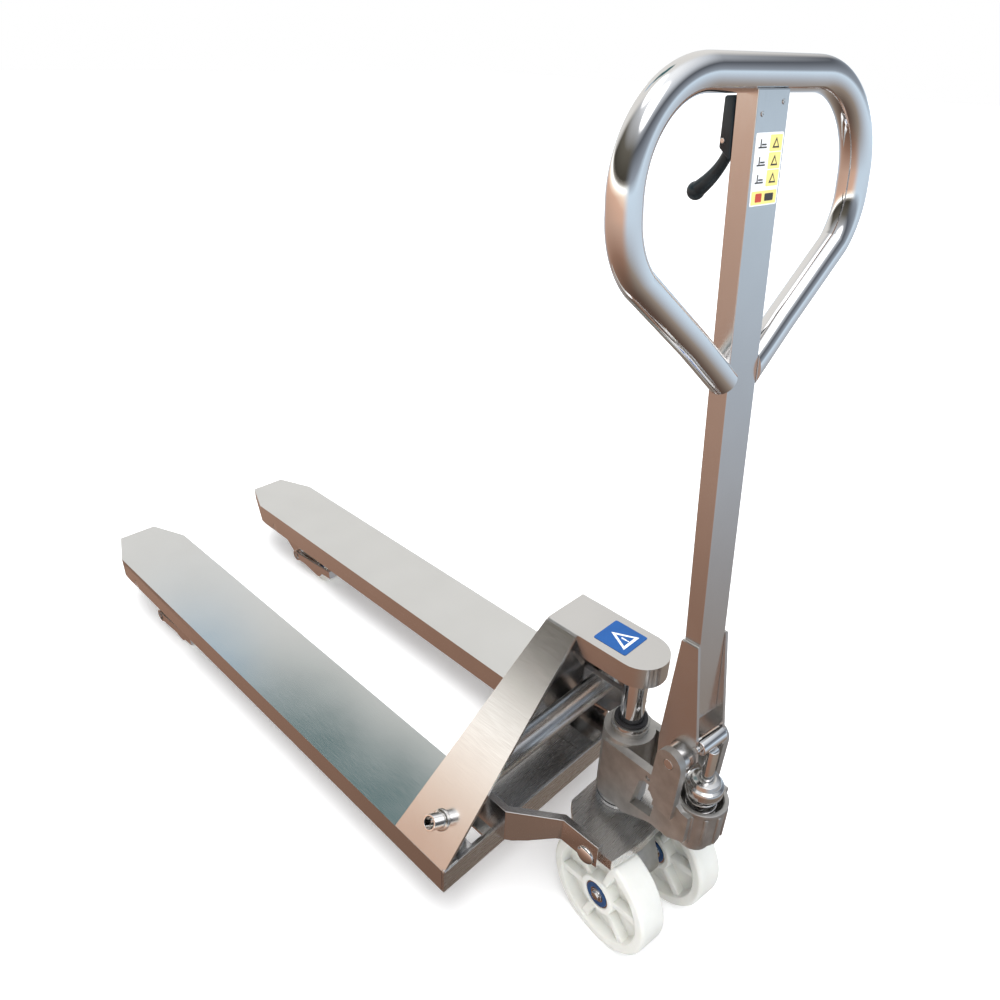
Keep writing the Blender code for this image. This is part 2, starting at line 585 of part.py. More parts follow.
def steer_wheel(side, centre):
    """Nylon wheel: rim, recessed web and hub, with a bore for its two bearings."""
    half, bevel = WHEEL_WIDTH / 2, 0.004
    radius = WHEEL_RADIUS / math.cos(math.pi / WHEEL_SIDES)        # a flat side stands on the floor
    rim, hub, bore, web = 0.082, 0.034, 0.0235 + GAP, 0.007
    profile = [(radius - bevel, half), (radius, half - bevel), (radius, bevel - half), (radius - bevel,
               -half),
               (rim, -half), (rim - 0.002, -web), (hub + 0.002, -web), (hub, -half), (bore, -half),
               (bore, half), (hub, half), (hub + 0.002, web), (rim - 0.002, web), (rim, half)]
    turned(f"steer_wheel_{side}", profile, centre, "y", NYLON, HEAD, WHEEL_SIDES)


def hand_pump():
    """Plunger with its cap, the return spring, and the valve lever in the casting's window."""
    top = PIVOT_Z + PRESS_Z * math.cos(MAST_LEAN) - PRESS_X * math.sin(MAST_LEAN) - PRESS_RADIUS - GAP
    bottom = 0.3175
    rod("pump_plunger", PLUNGER_RADIUS, top - bottom, (-PLUNGER_BACK, 0, (top + bottom) / 2), "z",
        POLISHED, HEAD)
    inner = PLUNGER_RADIUS + GAP
    profile = [(0.0225, 0.012), (0.0270, 0.006), (0.0270, -0.012), (inner, -0.012), (inner, 0.012)]
    turned("spring_cap", profile, (-PLUNGER_BACK, 0, 0.380), "z", STAINLESS, HEAD, 20)
    coils, wire, radius = 4.0, 0.0020, 0.0210
    low, high = 0.304 + GAP + wire, 0.368 - GAP - wire
    count = int(coils * 12)
    points = []
    for i in range(count + 1):
        turn = 2 * math.pi * coils * i / count
        points.append((-PLUNGER_BACK + radius * math.cos(turn), radius * math.sin(turn),
                       low + (high - low) * i / count))
    bar_path("plunger_spring", points, wire, STAINLESS, HEAD, 1)
    lever_outline = [*arc((VALVE_X, VALVE_Z), 0.009, 0, 180, 8), (-0.088, 0.330), (-0.086, 0.305),
                     (-0.076, 0.292), (-0.062, 0.292), (-0.068, 0.312), (-0.070, 0.335)]
    lever = plate("valve_lever", lever_outline, 0.016, "xz", 0, STAINLESS, HEAD)
    trunnion = rod("valve_trunnion", 0.0040, 0.0860, (VALVE_X, 0, VALVE_Z), "y", POLISHED, HEAD, 16)
    join(lever, trunnion)


# ---------------------------------------------------------------- mast
def yoke(side, sign):
    """Tapered plate on the mast's side, with a thick boss at the pivot."""
    outline = [(-0.0285, 0.010), *arc((0, 0), 0.022, 215, 300, 5), (0.038, -0.018), (0.0375, 0.010),
               (0.0135, 0.190), (-0.0135, 0.190)]
    obj = plate(f"yoke_{side}", outline, 0.005, "xz", sign * 0.0278, STAINLESS, MAST)
    boss = rod(f"yoke_boss_{side}", 0.020, 0.0100, (0, sign * 0.0350, 0), "y", STAINLESS, MAST)
    join(obj, boss)
    pivot = rod(f"yoke_bore_{side}", 0.0083, 0.03, (0, sign * 0.033, 0), "y", STAINLESS, MAST, 20)
    press = rod(f"yoke_press_hole_{side}", PRESS_PIN_RADIUS + GAP, 0.03, (PRESS_X, sign * 0.033,
                PRESS_Z), "y", STAINLESS, MAST, 16)
    cut(obj, pivot, press)
    rod(f"pivot_pin_{side}", 0.0080, 0.0280, (0, sign * 0.0390, 0), "y", POLISHED, MAST, 20)


def loop_path():
    """Centreline of the handle loop in the mast's own plane, from one foot to the other."""
    corner = arc((0.083, LOOP_TOP - 0.101), 0.101, 0, 90, 8)
    flank = arc((0.096, LOOP_TOP - 0.114), 0.088, -42, 0, 5)
    foot = [(0.012, LOOP_TOP - 0.3025), (0.075, LOOP_TOP - 0.2455)]
    half = foot + flank + corner
    mirrored = [(-across, along) for across, along in reversed(half)]
    return [(0, across, along) for across, along in half + mirrored]


def mast():
    """Rectangular tube with the round handle loop on its head and the yoke plates at its foot."""
    half_w, half_d = MAST_WIDTH / 2, MAST_DEPTH / 2
    tube = box("mast_tube", (-half_d, -half_w, MAST_FOOT), (half_d, half_w, MAST_HEAD), STAINLESS, MAST)
    hollow = box("mast_hollow", (MAST_WALL - half_d, MAST_WALL - half_w, MAST_FOOT - 0.01),
                 (half_d - MAST_WALL, half_w - MAST_WALL, MAST_HEAD + 0.01), STAINLESS, MAST)
    slot = box("lever_slot", (0.004, -0.009, MAST_HEAD - 0.075), (half_d + 0.01, 0.009, MAST_HEAD - 0.030),
               STAINLESS, MAST)
    cut(tube, hollow, slot)
    loop = solid_curve(bar_path("handle_loop", loop_path(), LOOP_RADIUS, POLISHED, MAST))
    clear = box("mast_clearance", (-half_d - GAP, -half_w - GAP, MAST_FOOT), (half_d + GAP, half_w + GAP,
                MAST_HEAD + GAP), STAINLESS, MAST)
    cut(loop, clear)
    for side, sign in SIDES:
        yoke(side, sign)
    rod("press_pin", 0.0050, 0.0600, (PRESS_X, 0, PRESS_Z), "y", POLISHED, MAST, 16)
    ring("press_roller", PRESS_RADIUS, 0.0053, 0.0480, (PRESS_X, 0, PRESS_Z), "y", POLISHED, MAST, 20)


def release_gear():
    """Black housing at the mast's head, the finger lever, and the rod that runs down the mast."""
    front = MAST_DEPTH / 2
    top = LOOP_TOP - LOOP_RADIUS - 2 * GAP
    housing = box("lever_housing", (front + GAP, -0.0280, top - 0.056), (front + 0.018, 0.0280, top),
                  BLACK, MAST)
    cheek_outline = [(front + 0.018, top), (-0.0095, top), (-0.0095, top - 0.052), (-0.0070, top - 0.074),
                     (0.0040, top - 0.058), (front + 0.018, top - 0.056)]
    for side, sign in SIDES:
        cheek = plate(f"housing_cheek_{side}", cheek_outline, 0.0030 - GAP, "xz",
                      sign * (0.0250 + (0.0030 + GAP) / 2), BLACK, MAST)
        join(housing, cheek)
    lever_gap = box("housing_gap", (front - 0.01, -0.0090, top - 0.070), (front + 0.03, 0.0090, top - 0.014),
                    BLACK, MAST)
    pin_x, pin_z = front + 0.0095, top - 0.040
    pin_hole = rod("lever_pin_hole", 0.0033, 0.08, (pin_x, 0, pin_z), "y", BLACK, MAST, 16)
    cut(housing, lever_gap, pin_hole)
    rod("lever_pin", 0.0030, 0.0550, (pin_x, 0, pin_z), "y", POLISHED, MAST, 16)
    upper = [(pin_x - 0.004, pin_z + 0.006), (pin_x + 0.004, pin_z + 0.007), (pin_x + 0.010, pin_z - 0.006),
             (pin_x + 0.018, pin_z - 0.020), (pin_x + 0.040, pin_z - 0.040)]
    knob = arc((pin_x + 0.050, pin_z - 0.050), 0.0085, 100, -160, 8)
    lower = [(pin_x + 0.030, pin_z - 0.046), (pin_x + 0.010, pin_z - 0.028), (pin_x + 0.000, pin_z - 0.010),
             (pin_x - 0.006, pin_z - 0.002)]
    lever = plate("release_lever", upper + knob + lower, 0.0160, "xz", 0, BLACK, MAST)
    bore = rod("lever_bore", 0.0033, 0.04, (pin_x, 0, pin_z), "y", BLACK, MAST, 16)
    cut(lever, bore)
    rod("release_rod", RELEASE_ROD_RADIUS, MAST_HEAD - 0.090 - MAST_FOOT,
        (0.002, 0, (MAST_HEAD - 0.090 + MAST_FOOT) / 2 + 0.002),
        "z", STAINLESS, MAST, 10)


# ---------------------------------------------------------------- whole truck
def settle_origin():
    """Moves the assembly so that the middle of its footprint is the origin."""
    bpy.context.view_layer.update()
    graph = bpy.context.evaluated_depsgraph_get()
    low, high = Vector((9, 9, 9)), Vector((-9, -9, -9))
    for obj in TRUCK.objects:
        if obj.type == "EMPTY":
            continue
        shape = obj.evaluated_get(graph).to_mesh()
        for vertex in shape.vertices:
            point = obj.matrix_world @ vertex.co
            low = Vector(map(min, low, point))
            high = Vector(map(max, high, point))
        obj.evaluated_get(graph).to_mesh_clear()
    ASSEMBLY.location = (-(low.x + high.x) / 2, -(low.y + high.y) / 2, -low.z)
    bpy.context.view_layer.update()
    print("origin shift", tuple(round(value, 6) for value in ASSEMBLY.location))


def main():
    for side, sign in SIDES:
        fork(side, sign)
        rocker_arm(side, sign)
        rod_lug(side, sign)
        push_rod(side, sign)
        roller_bracket(side, sign)
    headboard()
    side_socket()
    top_lug()
    cross_member()
    torsion_shaft()
    torsion_tube()
    lift_piston()
    base_plate()
    pump_body()
    steering()
    hand_pump()
    mast()
    release_gear()
    settle_origin()


main()
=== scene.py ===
# %% [markdown]
# # A stainless-steel hand pallet truck, dressed for its portrait
# The engineering model already holds every bar, pin and wheel in its right place. This lesson loads that
# model as a fixed frame and gives it its surface: rounded edges, weld beads, spoked nylon wheels and
# metal that has a grain. The first cell loads the frame, which nothing here may change.

# %% load the frame
import json
import math

import bmesh
import bpy
from mathutils import Matrix, Vector
from mathutils.geometry import interpolate_bezier

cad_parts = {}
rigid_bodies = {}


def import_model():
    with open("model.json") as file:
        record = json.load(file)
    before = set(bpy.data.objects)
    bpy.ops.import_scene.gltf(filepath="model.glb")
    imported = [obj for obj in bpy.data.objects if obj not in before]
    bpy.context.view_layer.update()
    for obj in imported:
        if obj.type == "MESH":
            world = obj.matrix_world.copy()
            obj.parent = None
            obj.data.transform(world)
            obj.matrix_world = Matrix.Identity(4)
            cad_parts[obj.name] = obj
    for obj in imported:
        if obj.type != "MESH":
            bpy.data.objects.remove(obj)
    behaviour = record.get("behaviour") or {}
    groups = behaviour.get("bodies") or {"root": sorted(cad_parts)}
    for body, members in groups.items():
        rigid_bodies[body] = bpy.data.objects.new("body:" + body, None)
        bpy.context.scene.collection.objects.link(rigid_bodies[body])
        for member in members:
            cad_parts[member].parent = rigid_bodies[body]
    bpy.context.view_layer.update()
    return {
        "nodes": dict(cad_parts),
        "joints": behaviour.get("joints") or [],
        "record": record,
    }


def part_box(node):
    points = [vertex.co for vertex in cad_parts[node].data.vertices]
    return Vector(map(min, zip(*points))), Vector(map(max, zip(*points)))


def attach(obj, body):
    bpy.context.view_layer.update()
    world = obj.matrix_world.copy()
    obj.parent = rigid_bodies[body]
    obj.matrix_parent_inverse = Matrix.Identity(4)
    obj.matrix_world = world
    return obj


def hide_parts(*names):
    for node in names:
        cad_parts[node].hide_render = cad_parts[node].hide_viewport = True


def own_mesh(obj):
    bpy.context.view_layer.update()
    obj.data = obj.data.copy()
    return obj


for leftover in list(bpy.data.objects):
    bpy.data.objects.remove(leftover)
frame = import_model()

# %% [markdown]
# ## Three rulers
# A truck is drawn from three places: the headboard of the forks, the steering axis of the pump, and the
# pivot of the mast. Each one gets a matrix that turns its own simple coordinates into the truck's. They
# are worked out from the joints and one fork, so a ruler can't drift away from the solids.

# %% rulers for the frame, the pump head and the mast
joints = {joint["name"]: joint for joint in frame["joints"]}


def ruler(origin, side, up):
    """A matrix whose Y runs to the near side and whose Z runs up the piece."""
    side, up = Vector(side).normalized(), Vector(up).normalized()
    matrix = Matrix((side.cross(up), side, up)).transposed().to_4x4()
    matrix.translation = origin
    return matrix


HEADBOARD_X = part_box("fork_near")[1].x - 1.150
near_side = Vector(joints["steer_wheel_near_spin"]["axis"])
steer_place = Vector(joints["steer"]["pos_m"])
pivot_place = Vector(joints["mast_tilt"]["pos_m"])
mast_up = Vector(joints["release_rod_travel"]["axis"])
TRUCK = Matrix.Translation((HEADBOARD_X, 0, 0))
HEAD = ruler((steer_place.x, steer_place.y, 0), near_side, (0, 0, 1))
MAST = ruler(pivot_place, near_side, mast_up)
STEER_X = steer_place.x - HEADBOARD_X
print("steering axis", round(STEER_X, 3), "from the headboard, mast pivot at", round(pivot_place.z, 3))

# %% [markdown]
# ## Camera
# The truck is seen from behind and above, from the operator's left, with a fairly wide lens that makes
# the handle loom and the forks run away. A slight roll is part of that hand-held view.

# %% camera
yaw, pitch, roll = math.radians(-46.47), math.radians(-30.11), math.radians(2.06)
forward = Vector((math.cos(pitch) * math.cos(yaw), math.cos(pitch) * math.sin(yaw), math.sin(pitch)))
right = forward.cross(Vector((0, 0, 1))).normalized()
above = right.cross(forward)
across = right * math.cos(roll) + above * math.sin(roll)
upward = above * math.cos(roll) - right * math.sin(roll)
camera_data = bpy.data.cameras.new("camera")
camera_data.sensor_width, camera_data.lens = 36.0, 28.37
camera_data.clip_start, camera_data.clip_end = 0.05, 200
camera = bpy.data.objects.new("camera", camera_data)
bpy.context.scene.collection.objects.link(camera)
camera_turn = Matrix((across, upward, -forward)).transposed().to_4x4()
camera.matrix_world = Matrix.Translation(TRUCK @ Vector((-0.6984, 0.7817, 1.2719))) @ camera_turn
bpy.context.scene.camera = camera
print("camera", [round(v, 3) for v in camera.location], "lens", camera_data.lens)

# %% [markdown]
# ## Making materials from nodes
# Stainless steel is one metal with many finishes. What differs is how rough it is, which way it was
# brushed, and how far fingerprints and rolling marks stand out. One recipe therefore makes them all: a
# base colour that wanders a little, a roughness that a stretched noise changes, and a very low bump.
# Every pattern reads Object coordinates, so it stays with the piece.

# %% a small toolbox for nodes


def new_material(name):
    material = bpy.data.materials.new(name)
    material.use_nodes = True
    nodes, links = material.node_tree.nodes, material.node_tree.links
    return material, nodes, links, nodes["Principled BSDF"]


def pattern(nodes, links, stretch, scale, detail):
    """A noise on Object coordinates, stretched along the piece's axes."""
    place = nodes.new("ShaderNodeTexCoord")
    mapping = nodes.new("ShaderNodeMapping")
    mapping.inputs["Scale"].default_value = stretch
    noise = nodes.new("ShaderNodeTexNoise")
    noise.inputs["Scale"].default_value = scale
    noise.inputs["Detail"].default_value = detail
    links.new(place.outputs["Object"], mapping.inputs["Vector"])
    links.new(mapping.outputs["Vector"], noise.inputs["Vector"])
    return noise.outputs["Fac"]


def spread(nodes, links, source, low, high):
    """Maps a 0 to 1 pattern to a range of plain numbers."""
    ranged = nodes.new("ShaderNodeMapRange")
    ranged.inputs["To Min"].default_value = low
    ranged.inputs["To Max"].default_value = high
    links.new(source, ranged.inputs["Value"])
    return ranged.outputs["Result"]


def two_tones(nodes, links, source, first, second, start=0.3, end=0.7):
    ramp = nodes.new("ShaderNodeValToRGB")
    ramp.color_ramp.elements[0].position, ramp.color_ramp.elements[1].position = start, end
    ramp.color_ramp.elements[0].color = (*first, 1)
    ramp.color_ramp.elements[1].color = (*second, 1)
    links.new(source, ramp.inputs["Fac"])
    return ramp.outputs["Color"]


def bump(nodes, links, shader, source, strength, distance):
    node = nodes.new("ShaderNodeBump")
    node.inputs["Strength"].default_value = strength
    node.inputs["Distance"].default_value = distance
    links.new(source, node.inputs["Height"])
    links.new(node.outputs["Normal"], shader.inputs["Normal"])


# %% [markdown]
# Brushed and polished steel share one function. The grain is a noise drawn out along the way the sheet
# was brushed, and a second, slow noise gives the cloudy patches that handling leaves on it.

# %% steel


def steel(name, light, dark, rough, grain, fine=900.0, lift=0.00004, strength=0.25):
    """Stainless steel: grain is how far the brushing stretches the noise along X, Y and Z."""
    material, nodes, links, shader = new_material(name)
    brushing = pattern(nodes, links, grain, fine, 2.0)
    clouds = pattern(nodes, links, (1, 1, 1), 9.0, 4.0)
    links.new(two_tones(nodes, links, clouds, dark, light), shader.inputs["Base Color"])
    mixed = nodes.new("ShaderNodeMath")
    mixed.operation = "MULTIPLY_ADD"
    mixed.inputs[1].default_value = 0.6
    links.new(clouds, mixed.inputs[0])
    links.new(brushing, mixed.inputs[2])
    links.new(spread(nodes, links, mixed.outputs["Value"], rough * 0.6, rough * 1.4),
              shader.inputs["Roughness"])
    bump(nodes, links, shader, brushing, strength, lift)
    shader.inputs["Metallic"].default_value = 1.0
    return material


SATIN = steel("satin_sheet", (0.78, 0.77, 0.76), (0.73, 0.72, 0.71), 0.15, (0.04, 1, 1), lift=0.00001)
SATIN_UP = steel("satin_upright", (0.76, 0.75, 0.74), (0.71, 0.70, 0.69), 0.17, (1, 1, 0.04), lift=0.00001)
SATIN_ACROSS = steel("satin_tube", (0.74, 0.73, 0.72), (0.66, 0.65, 0.64), 0.22, (1, 0.04, 1))
LOAD_FACE = steel("fork_sheet", (0.84, 0.84, 0.83), (0.80, 0.80, 0.79), 0.14, (0.03, 1, 1), lift=0.00001)
MIRROR = steel("polished_steel", (0.90, 0.89, 0.88), (0.85, 0.84, 0.83), 0.055, (1, 1, 1), 300.0, 0.00001,
               0.15)
MACHINED = steel("machined_steel", (0.80, 0.79, 0.77), (0.72, 0.70, 0.68), 0.14, (1, 1, 1), 700.0, 0.00002)
WELD = steel("weld_metal", (0.86, 0.84, 0.80), (0.62, 0.60, 0.58), 0.18, (1, 1, 1), 260.0, 0.0003, 0.6)
print("steel finishes:", ", ".join(m.name for m in (SATIN, SATIN_UP, SATIN_ACROSS, LOAD_FACE, MIRROR,
                                                    MACHINED, WELD)))

# %% [markdown]
# The pump is cast and then blasted with beads. Blasting leaves thousands of tiny dimples, so the metal
# scatters light softly, and the casting skin is darker in some patches than in others.

# %% cast steel, nylon and plastics


def cast_steel():
    material, nodes, links, shader = new_material("blasted_casting")
    dimples = pattern(nodes, links, (1, 1, 1), 1100.0, 2.0)
    skin = pattern(nodes, links, (1, 1, 1), 45.0, 5.0)
    links.new(two_tones(nodes, links, skin, (0.50, 0.485, 0.46), (0.64, 0.62, 0.59)),
              shader.inputs["Base Color"])
    links.new(spread(nodes, links, dimples, 0.42, 0.62), shader.inputs["Roughness"])
    bump(nodes, links, shader, dimples, 0.5, 0.00012)
    shader.inputs["Metallic"].default_value = 1.0
    return material


def plastic(name, light, dark, rough, scale, strength=0.2, scatter=0.0):
    material, nodes, links, shader = new_material(name)
    mottle = pattern(nodes, links, (1, 1, 1), scale, 4.0)
    links.new(two_tones(nodes, links, mottle, dark, light), shader.inputs["Base Color"])
    links.new(spread(nodes, links, mottle, rough * 0.75, rough * 1.3), shader.inputs["Roughness"])
    fine = pattern(nodes, links, (1, 1, 1), scale * 14, 2.0)
    bump(nodes, links, shader, fine, strength, 0.00008)
    shader.inputs["Subsurface Weight"].default_value = scatter
    shader.inputs["Subsurface Radius"].default_value = (0.012, 0.009, 0.006)
    return material


CAST = cast_steel()
NYLON = plastic("white_nylon", (0.80, 0.80, 0.765), (0.74, 0.745, 0.70), 0.36, 22.0, 0.15, 0.15)
BLACK = plastic("black_lever_plastic", (0.012, 0.022, 0.028), (0.006, 0.012, 0.016), 0.30, 60.0)
RUBBER = plastic("seal_rubber", (0.02, 0.02, 0.022), (0.012, 0.012, 0.014), 0.55, 90.0)
SEAL_BLUE = plastic("bearing_seal_blue", (0.010, 0.075, 0.21), (0.006, 0.045, 0.14), 0.34, 80.0)
LABEL_BLUE = plastic("label_blue", (0.0, 0.085, 0.32), (0.0, 0.075, 0.29), 0.34, 30.0, 0.05)
LABEL_YELLOW = plastic("label_yellow", (0.90, 0.77, 0.26), (0.86, 0.72, 0.22), 0.34, 30.0, 0.05)
LABEL_WHITE = plastic("label_white", (0.90, 0.92, 0.93), (0.85, 0.87, 0.89), 0.32, 30.0, 0.05)
INK_BLACK = plastic("label_ink", (0.05, 0.045, 0.04), (0.03, 0.03, 0.03), 0.40, 30.0, 0.05)
INK_RED = plastic("label_red", (0.55, 0.06, 0.03), (0.48, 0.05, 0.03), 0.40, 30.0, 0.05)
print("plastics and inks ready")

# %% [markdown]
# ## Carrying pieces over
# Sheet metal is never razor sharp: a laser-cut edge is broken with a file, and a folded edge has a
# radius. Each flat CAD piece is therefore copied, its loose triangles are merged into whole faces, and a
# narrow bevel is run along its corners. The copy rides on the same body and stands for the CAD node.

# %% helpers that finish a piece
body_of_node = {n: body for body, nodes in frame["record"]["behaviour"]["bodies"].items() for n in nodes}


def finish_piece(name, shape, place, material, body, nodes=(), smooth=38, recalculate=True):
    """Puts a bmesh in its place in the truck, as a piece that rides on a body."""
    if recalculate:
        bmesh.ops.remove_doubles(shape, verts=shape.verts, dist=0.00001)
        bmesh.ops.recalc_face_normals(shape, faces=shape.faces)
    mesh = bpy.data.meshes.new(name)
    shape.to_mesh(mesh)
    shape.free()
    mesh.transform(place)
    mesh.shade_smooth()
    mesh.set_sharp_from_angle(angle=math.radians(smooth))
    piece = bpy.data.objects.new(name, mesh)
    bpy.context.scene.collection.objects.link(piece)
    mesh.materials.append(material)
    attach(piece, body)
    if nodes:
        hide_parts(*nodes)
    return piece


def refined(node, material, width, segments=3, angle=32):
    """The CAD node with whole faces and softly broken edges."""
    shape = bmesh.new()
    shape.from_mesh(frame["nodes"][node].data)
    bmesh.ops.remove_doubles(shape, verts=shape.verts, dist=0.00002)
    bmesh.ops.dissolve_limit(shape, angle_limit=math.radians(0.6), verts=shape.verts, edges=shape.edges)
    piece = finish_piece(f"{node}_skin", shape, Matrix(), material, body_of_node[node], (node,),
                         recalculate=False)
    edge = piece.modifiers.new("broken_edge", "BEVEL")
    edge.width, edge.segments = width, segments
    edge.limit_method, edge.angle_limit = "ANGLE", math.radians(angle)
    edge.harden_normals = True
    return piece


SIDES = (("near", 1), ("far", -1))
PAIRED = (("fork", LOAD_FACE, 0.0016, 3),
          ("side_strip", SATIN, 0.0009, 2),
          ("rocker_arm", SATIN, 0.0016, 3),
          ("rod_lug", SATIN, 0.0007, 2),
          ("push_rod", SATIN, 0.0005, 2),
          ("roller_bracket", SATIN, 0.0008, 2),
          ("shaft_bracket", SATIN, 0.0006, 2),
          ("yoke", SATIN_UP, 0.0009, 2))
SINGLE = (("front_wall", SATIN_UP, 0.0010),
          ("top_lug", SATIN, 0.0020),
          ("cross_member", SATIN_ACROSS, 0.0010),
          ("base_plate", SATIN_ACROSS, 0.0018),
          ("mast_tube", SATIN_UP, 0.0022),
          ("axle_carrier", CAST, 0.0015),
          ("valve_lever", MACHINED, 0.0012))
for side, sign in SIDES:
    for node, material, width, segments in PAIRED:
        refined(f"{node}_{side}", material, width, segments)
for node, material, width in SINGLE:
    refined(node, material, width)
print(2 * len(PAIRED) + len(SINGLE), "flat pieces carried over with broken edges")

# %% [markdown]
# ## Turned pieces
# Pins, tubes, rollers and wheels come off a lathe, so they are made the way a lathe makes them: half an
# outline is spun round an axis. The outline's corners are first rounded off, because a turned edge always
# has a small radius.

# %% the lathe


def rounded(outline, radius, count=4):
    """A closed outline with each corner cut back to a small arc of points."""
    result = []
    for i, corner in enumerate(outline):
        corner = Vector(corner)
        before, after = Vector(outline[i - 1]) - corner, Vector(outline[(i + 1) % len(outline)]) - corner
        reach = min(radius, before.length * 0.45, after.length * 0.45)
        start, end = corner + before.normalized() * reach, corner + after.normalized() * reach
        for step in range(count + 1):
            t = step / count
            result.append(start * (1 - t) ** 2 + corner * 2 * t * (1 - t) + end * t ** 2)
    return [(point.x, point.y) for point in result]


def lathe(outline, steps=64, radius=0.0006):
    """Spins a closed (radius, height) outline round Z."""
    shape = bmesh.new()
    points = rounded(outline, radius) if radius else outline
    verts = [shape.verts.new((max(r, 0.0), 0, height)) for r, height in points]
    edges = [shape.edges.new((verts[i], verts[(i + 1) % len(verts)])) for i in range(len(verts))]
    bmesh.ops.spin(shape, geom=verts + edges, cent=(0, 0, 0), axis=(0, 0, 1), angle=2 * math.pi,
                   steps=steps, use_merge=True)
    bmesh.ops.remove_doubles(shape, verts=shape.verts, dist=0.00001)
    bmesh.ops.dissolve_degenerate(shape, dist=0.000005, edges=shape.edges)
    return shape


# Lays the lathe's axis along Y, with its top towards the near side.
TURN_TO_Y = Matrix.Rotation(math.radians(-90), 4, "X")


def ring(outer, inner, half):
    """The outline of a bar, bush or washer centred on its middle; a bar's inner radius is 0."""
    return [(outer, half), (outer, -half), (inner, -half), (inner, half)]


def turned(name, outline, place, material, body, nodes=(), steps=48, soft=0.0006):
    return finish_piece(name, lathe(outline, steps, soft), place, material, body, nodes)


def bar_piece(name, radius, length, place, material, body, nodes=(), bore=0.0, soft=0.0008):
    return turned(name, ring(radius, bore, length / 2), place, material, body, nodes, 40, soft)


def at(ruler_matrix, x, y, z, turn=None):
    return ruler_matrix @ Matrix.Translation((x, y, z)) @ (turn or Matrix())


def joint_place(joint):
    return Matrix.Translation(joints[joint]["pos_m"])


# %% shafts, pins and the lift piston
SHAFT_RADIUS, TUBE_RADIUS, PISTON_RADIUS = 0.012, 0.0232, 0.018
BRACKET_PIN_RADIUS, ROD_PIN_RADIUS, ROLLER_AXLE_RADIUS = 0.010, 0.005, 0.008
SHAFT = at(TRUCK, -0.068, 0, 0.2205, TURN_TO_Y)
bar_piece("torsion_shaft_bar", SHAFT_RADIUS, 0.423, SHAFT, MIRROR, "lift_frame", ("torsion_shaft",))
bar_piece("torsion_tube_skin", TUBE_RADIUS, 0.404, SHAFT, SATIN_ACROSS, "rocker", ("torsion_tube",),
          bore=SHAFT_RADIUS + 0.0003)
for side, sign in SIDES:
    low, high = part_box(f"bracket_pin_{side}")
    middle = Matrix.Translation((low + high) / 2) @ TURN_TO_Y
    bar_piece(f"bracket_pin_{side}_bar", BRACKET_PIN_RADIUS, high.y - low.y, middle, MIRROR, "lift_frame",
              (f"bracket_pin_{side}",), soft=0.0015)
    for node, radius in ((f"rod_pin_{side}", ROD_PIN_RADIUS), (f"roller_axle_{side}", ROLLER_AXLE_RADIUS)):
        low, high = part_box(node)
        middle = Matrix.Translation((low + high) / 2) @ TURN_TO_Y
        bar_piece(f"{node}_bar", radius, high.y - low.y, middle, MACHINED, body_of_node[node], (node,))
low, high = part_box("lift_piston")
turned("lift_piston_rod", ring(PISTON_RADIUS, 0.0, (high.z - low.z) / 2),
       at(TRUCK, STEER_X, 0, (low.z + high.z) / 2), MIRROR,
       "lift_frame", ("lift_piston",), 96)
print("piston", round(high.z - low.z, 3), "long")

# %% [markdown]
# The rocker pins screw into the base plate's edges. Their heads are domed and polished, like a coach bolt
# without its square, and they catch the light at the end of each rocker arm.

# %% domed rocker pins
DOME_RADIUS, DOME_RISE, DOME_EDGE = 0.0155, 0.0054, 0.0012
STEM_RADIUS, STEM_LENGTH = 0.006, 0.034
for side, sign in SIDES:
    pin_turn = TURN_TO_Y if sign > 0 else TURN_TO_Y @ Matrix.Rotation(math.pi, 4, "X")
    dome = [(DOME_RADIUS * math.cos(math.radians(a)), DOME_RISE * math.sin(math.radians(a)))
            for a in range(90, -1, -10)]
    outline = [(STEM_RADIUS, -STEM_LENGTH), (0.0, -STEM_LENGTH)] + dome
    outline += [(DOME_RADIUS, -DOME_EDGE), (STEM_RADIUS, -DOME_EDGE)]
    low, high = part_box(f"link_pin_{side}")
    head_y = (high.y if sign > 0 else low.y) - sign * 0.0050
    centre = (low + high) / 2
    turned(f"link_pin_{side}_domed", outline, Matrix.Translation((centre.x, head_y, centre.z)) @ pin_turn,
           MIRROR, "base", (f"link_pin_{side}",), 56, 0.0)
print("two domed pins")

# %% [markdown]
# ## Load rollers
# A load roller is a solid nylon barrel on two ball bearings. Only its tread and a bearing edge show under
# the fork.

# %% load rollers
for side, sign in SIDES:
    place = joint_place(f"load_roller_{side}_spin") @ TURN_TO_Y
    tread = [(0.037, 0.0465), (0.041, 0.0425), (0.041, -0.0425), (0.037, -0.0465), (0.0195, -0.0465),
             (0.0195, -0.0440), (0.0083, -0.0440), (0.0083, 0.0440), (0.0195, 0.0440), (0.0195, 0.0465)]
    turned(f"load_roller_{side}_tread", tread, place, NYLON, f"load_roller_{side}",
           (f"load_roller_{side}",), 72, 0.001)
    for end in (-1, 1):
        label = "inner" if end < 0 else "outer"
        turned(f"load_roller_{side}_seal_{label}", ring(0.0190, 0.0086, 0.0012),
               place @ Matrix.Translation((0, 0, end * 0.0448)), SEAL_BLUE, f"load_roller_{side}", steps=40)
print("two load rollers with sealed bearings")

# %% [markdown]
# ## Steering wheels
# The wheels are moulded nylon: a thick tread, a hub as wide as the tread, and a thin web between them.
# Six ribs cross the web, so that the wheel is light but doesn't fold. The rim is spun first. Each rib is
# then a tapered block that overlaps the rim and the hub, where a moulding would have a fillet.

# %% steering wheels
WHEEL_R, RIM_R, HUB_R, BORE_R, HALF_WIDTH, WEB = 0.100, 0.0825, 0.0330, 0.0238, 0.025, 0.0050
RIBS = 6


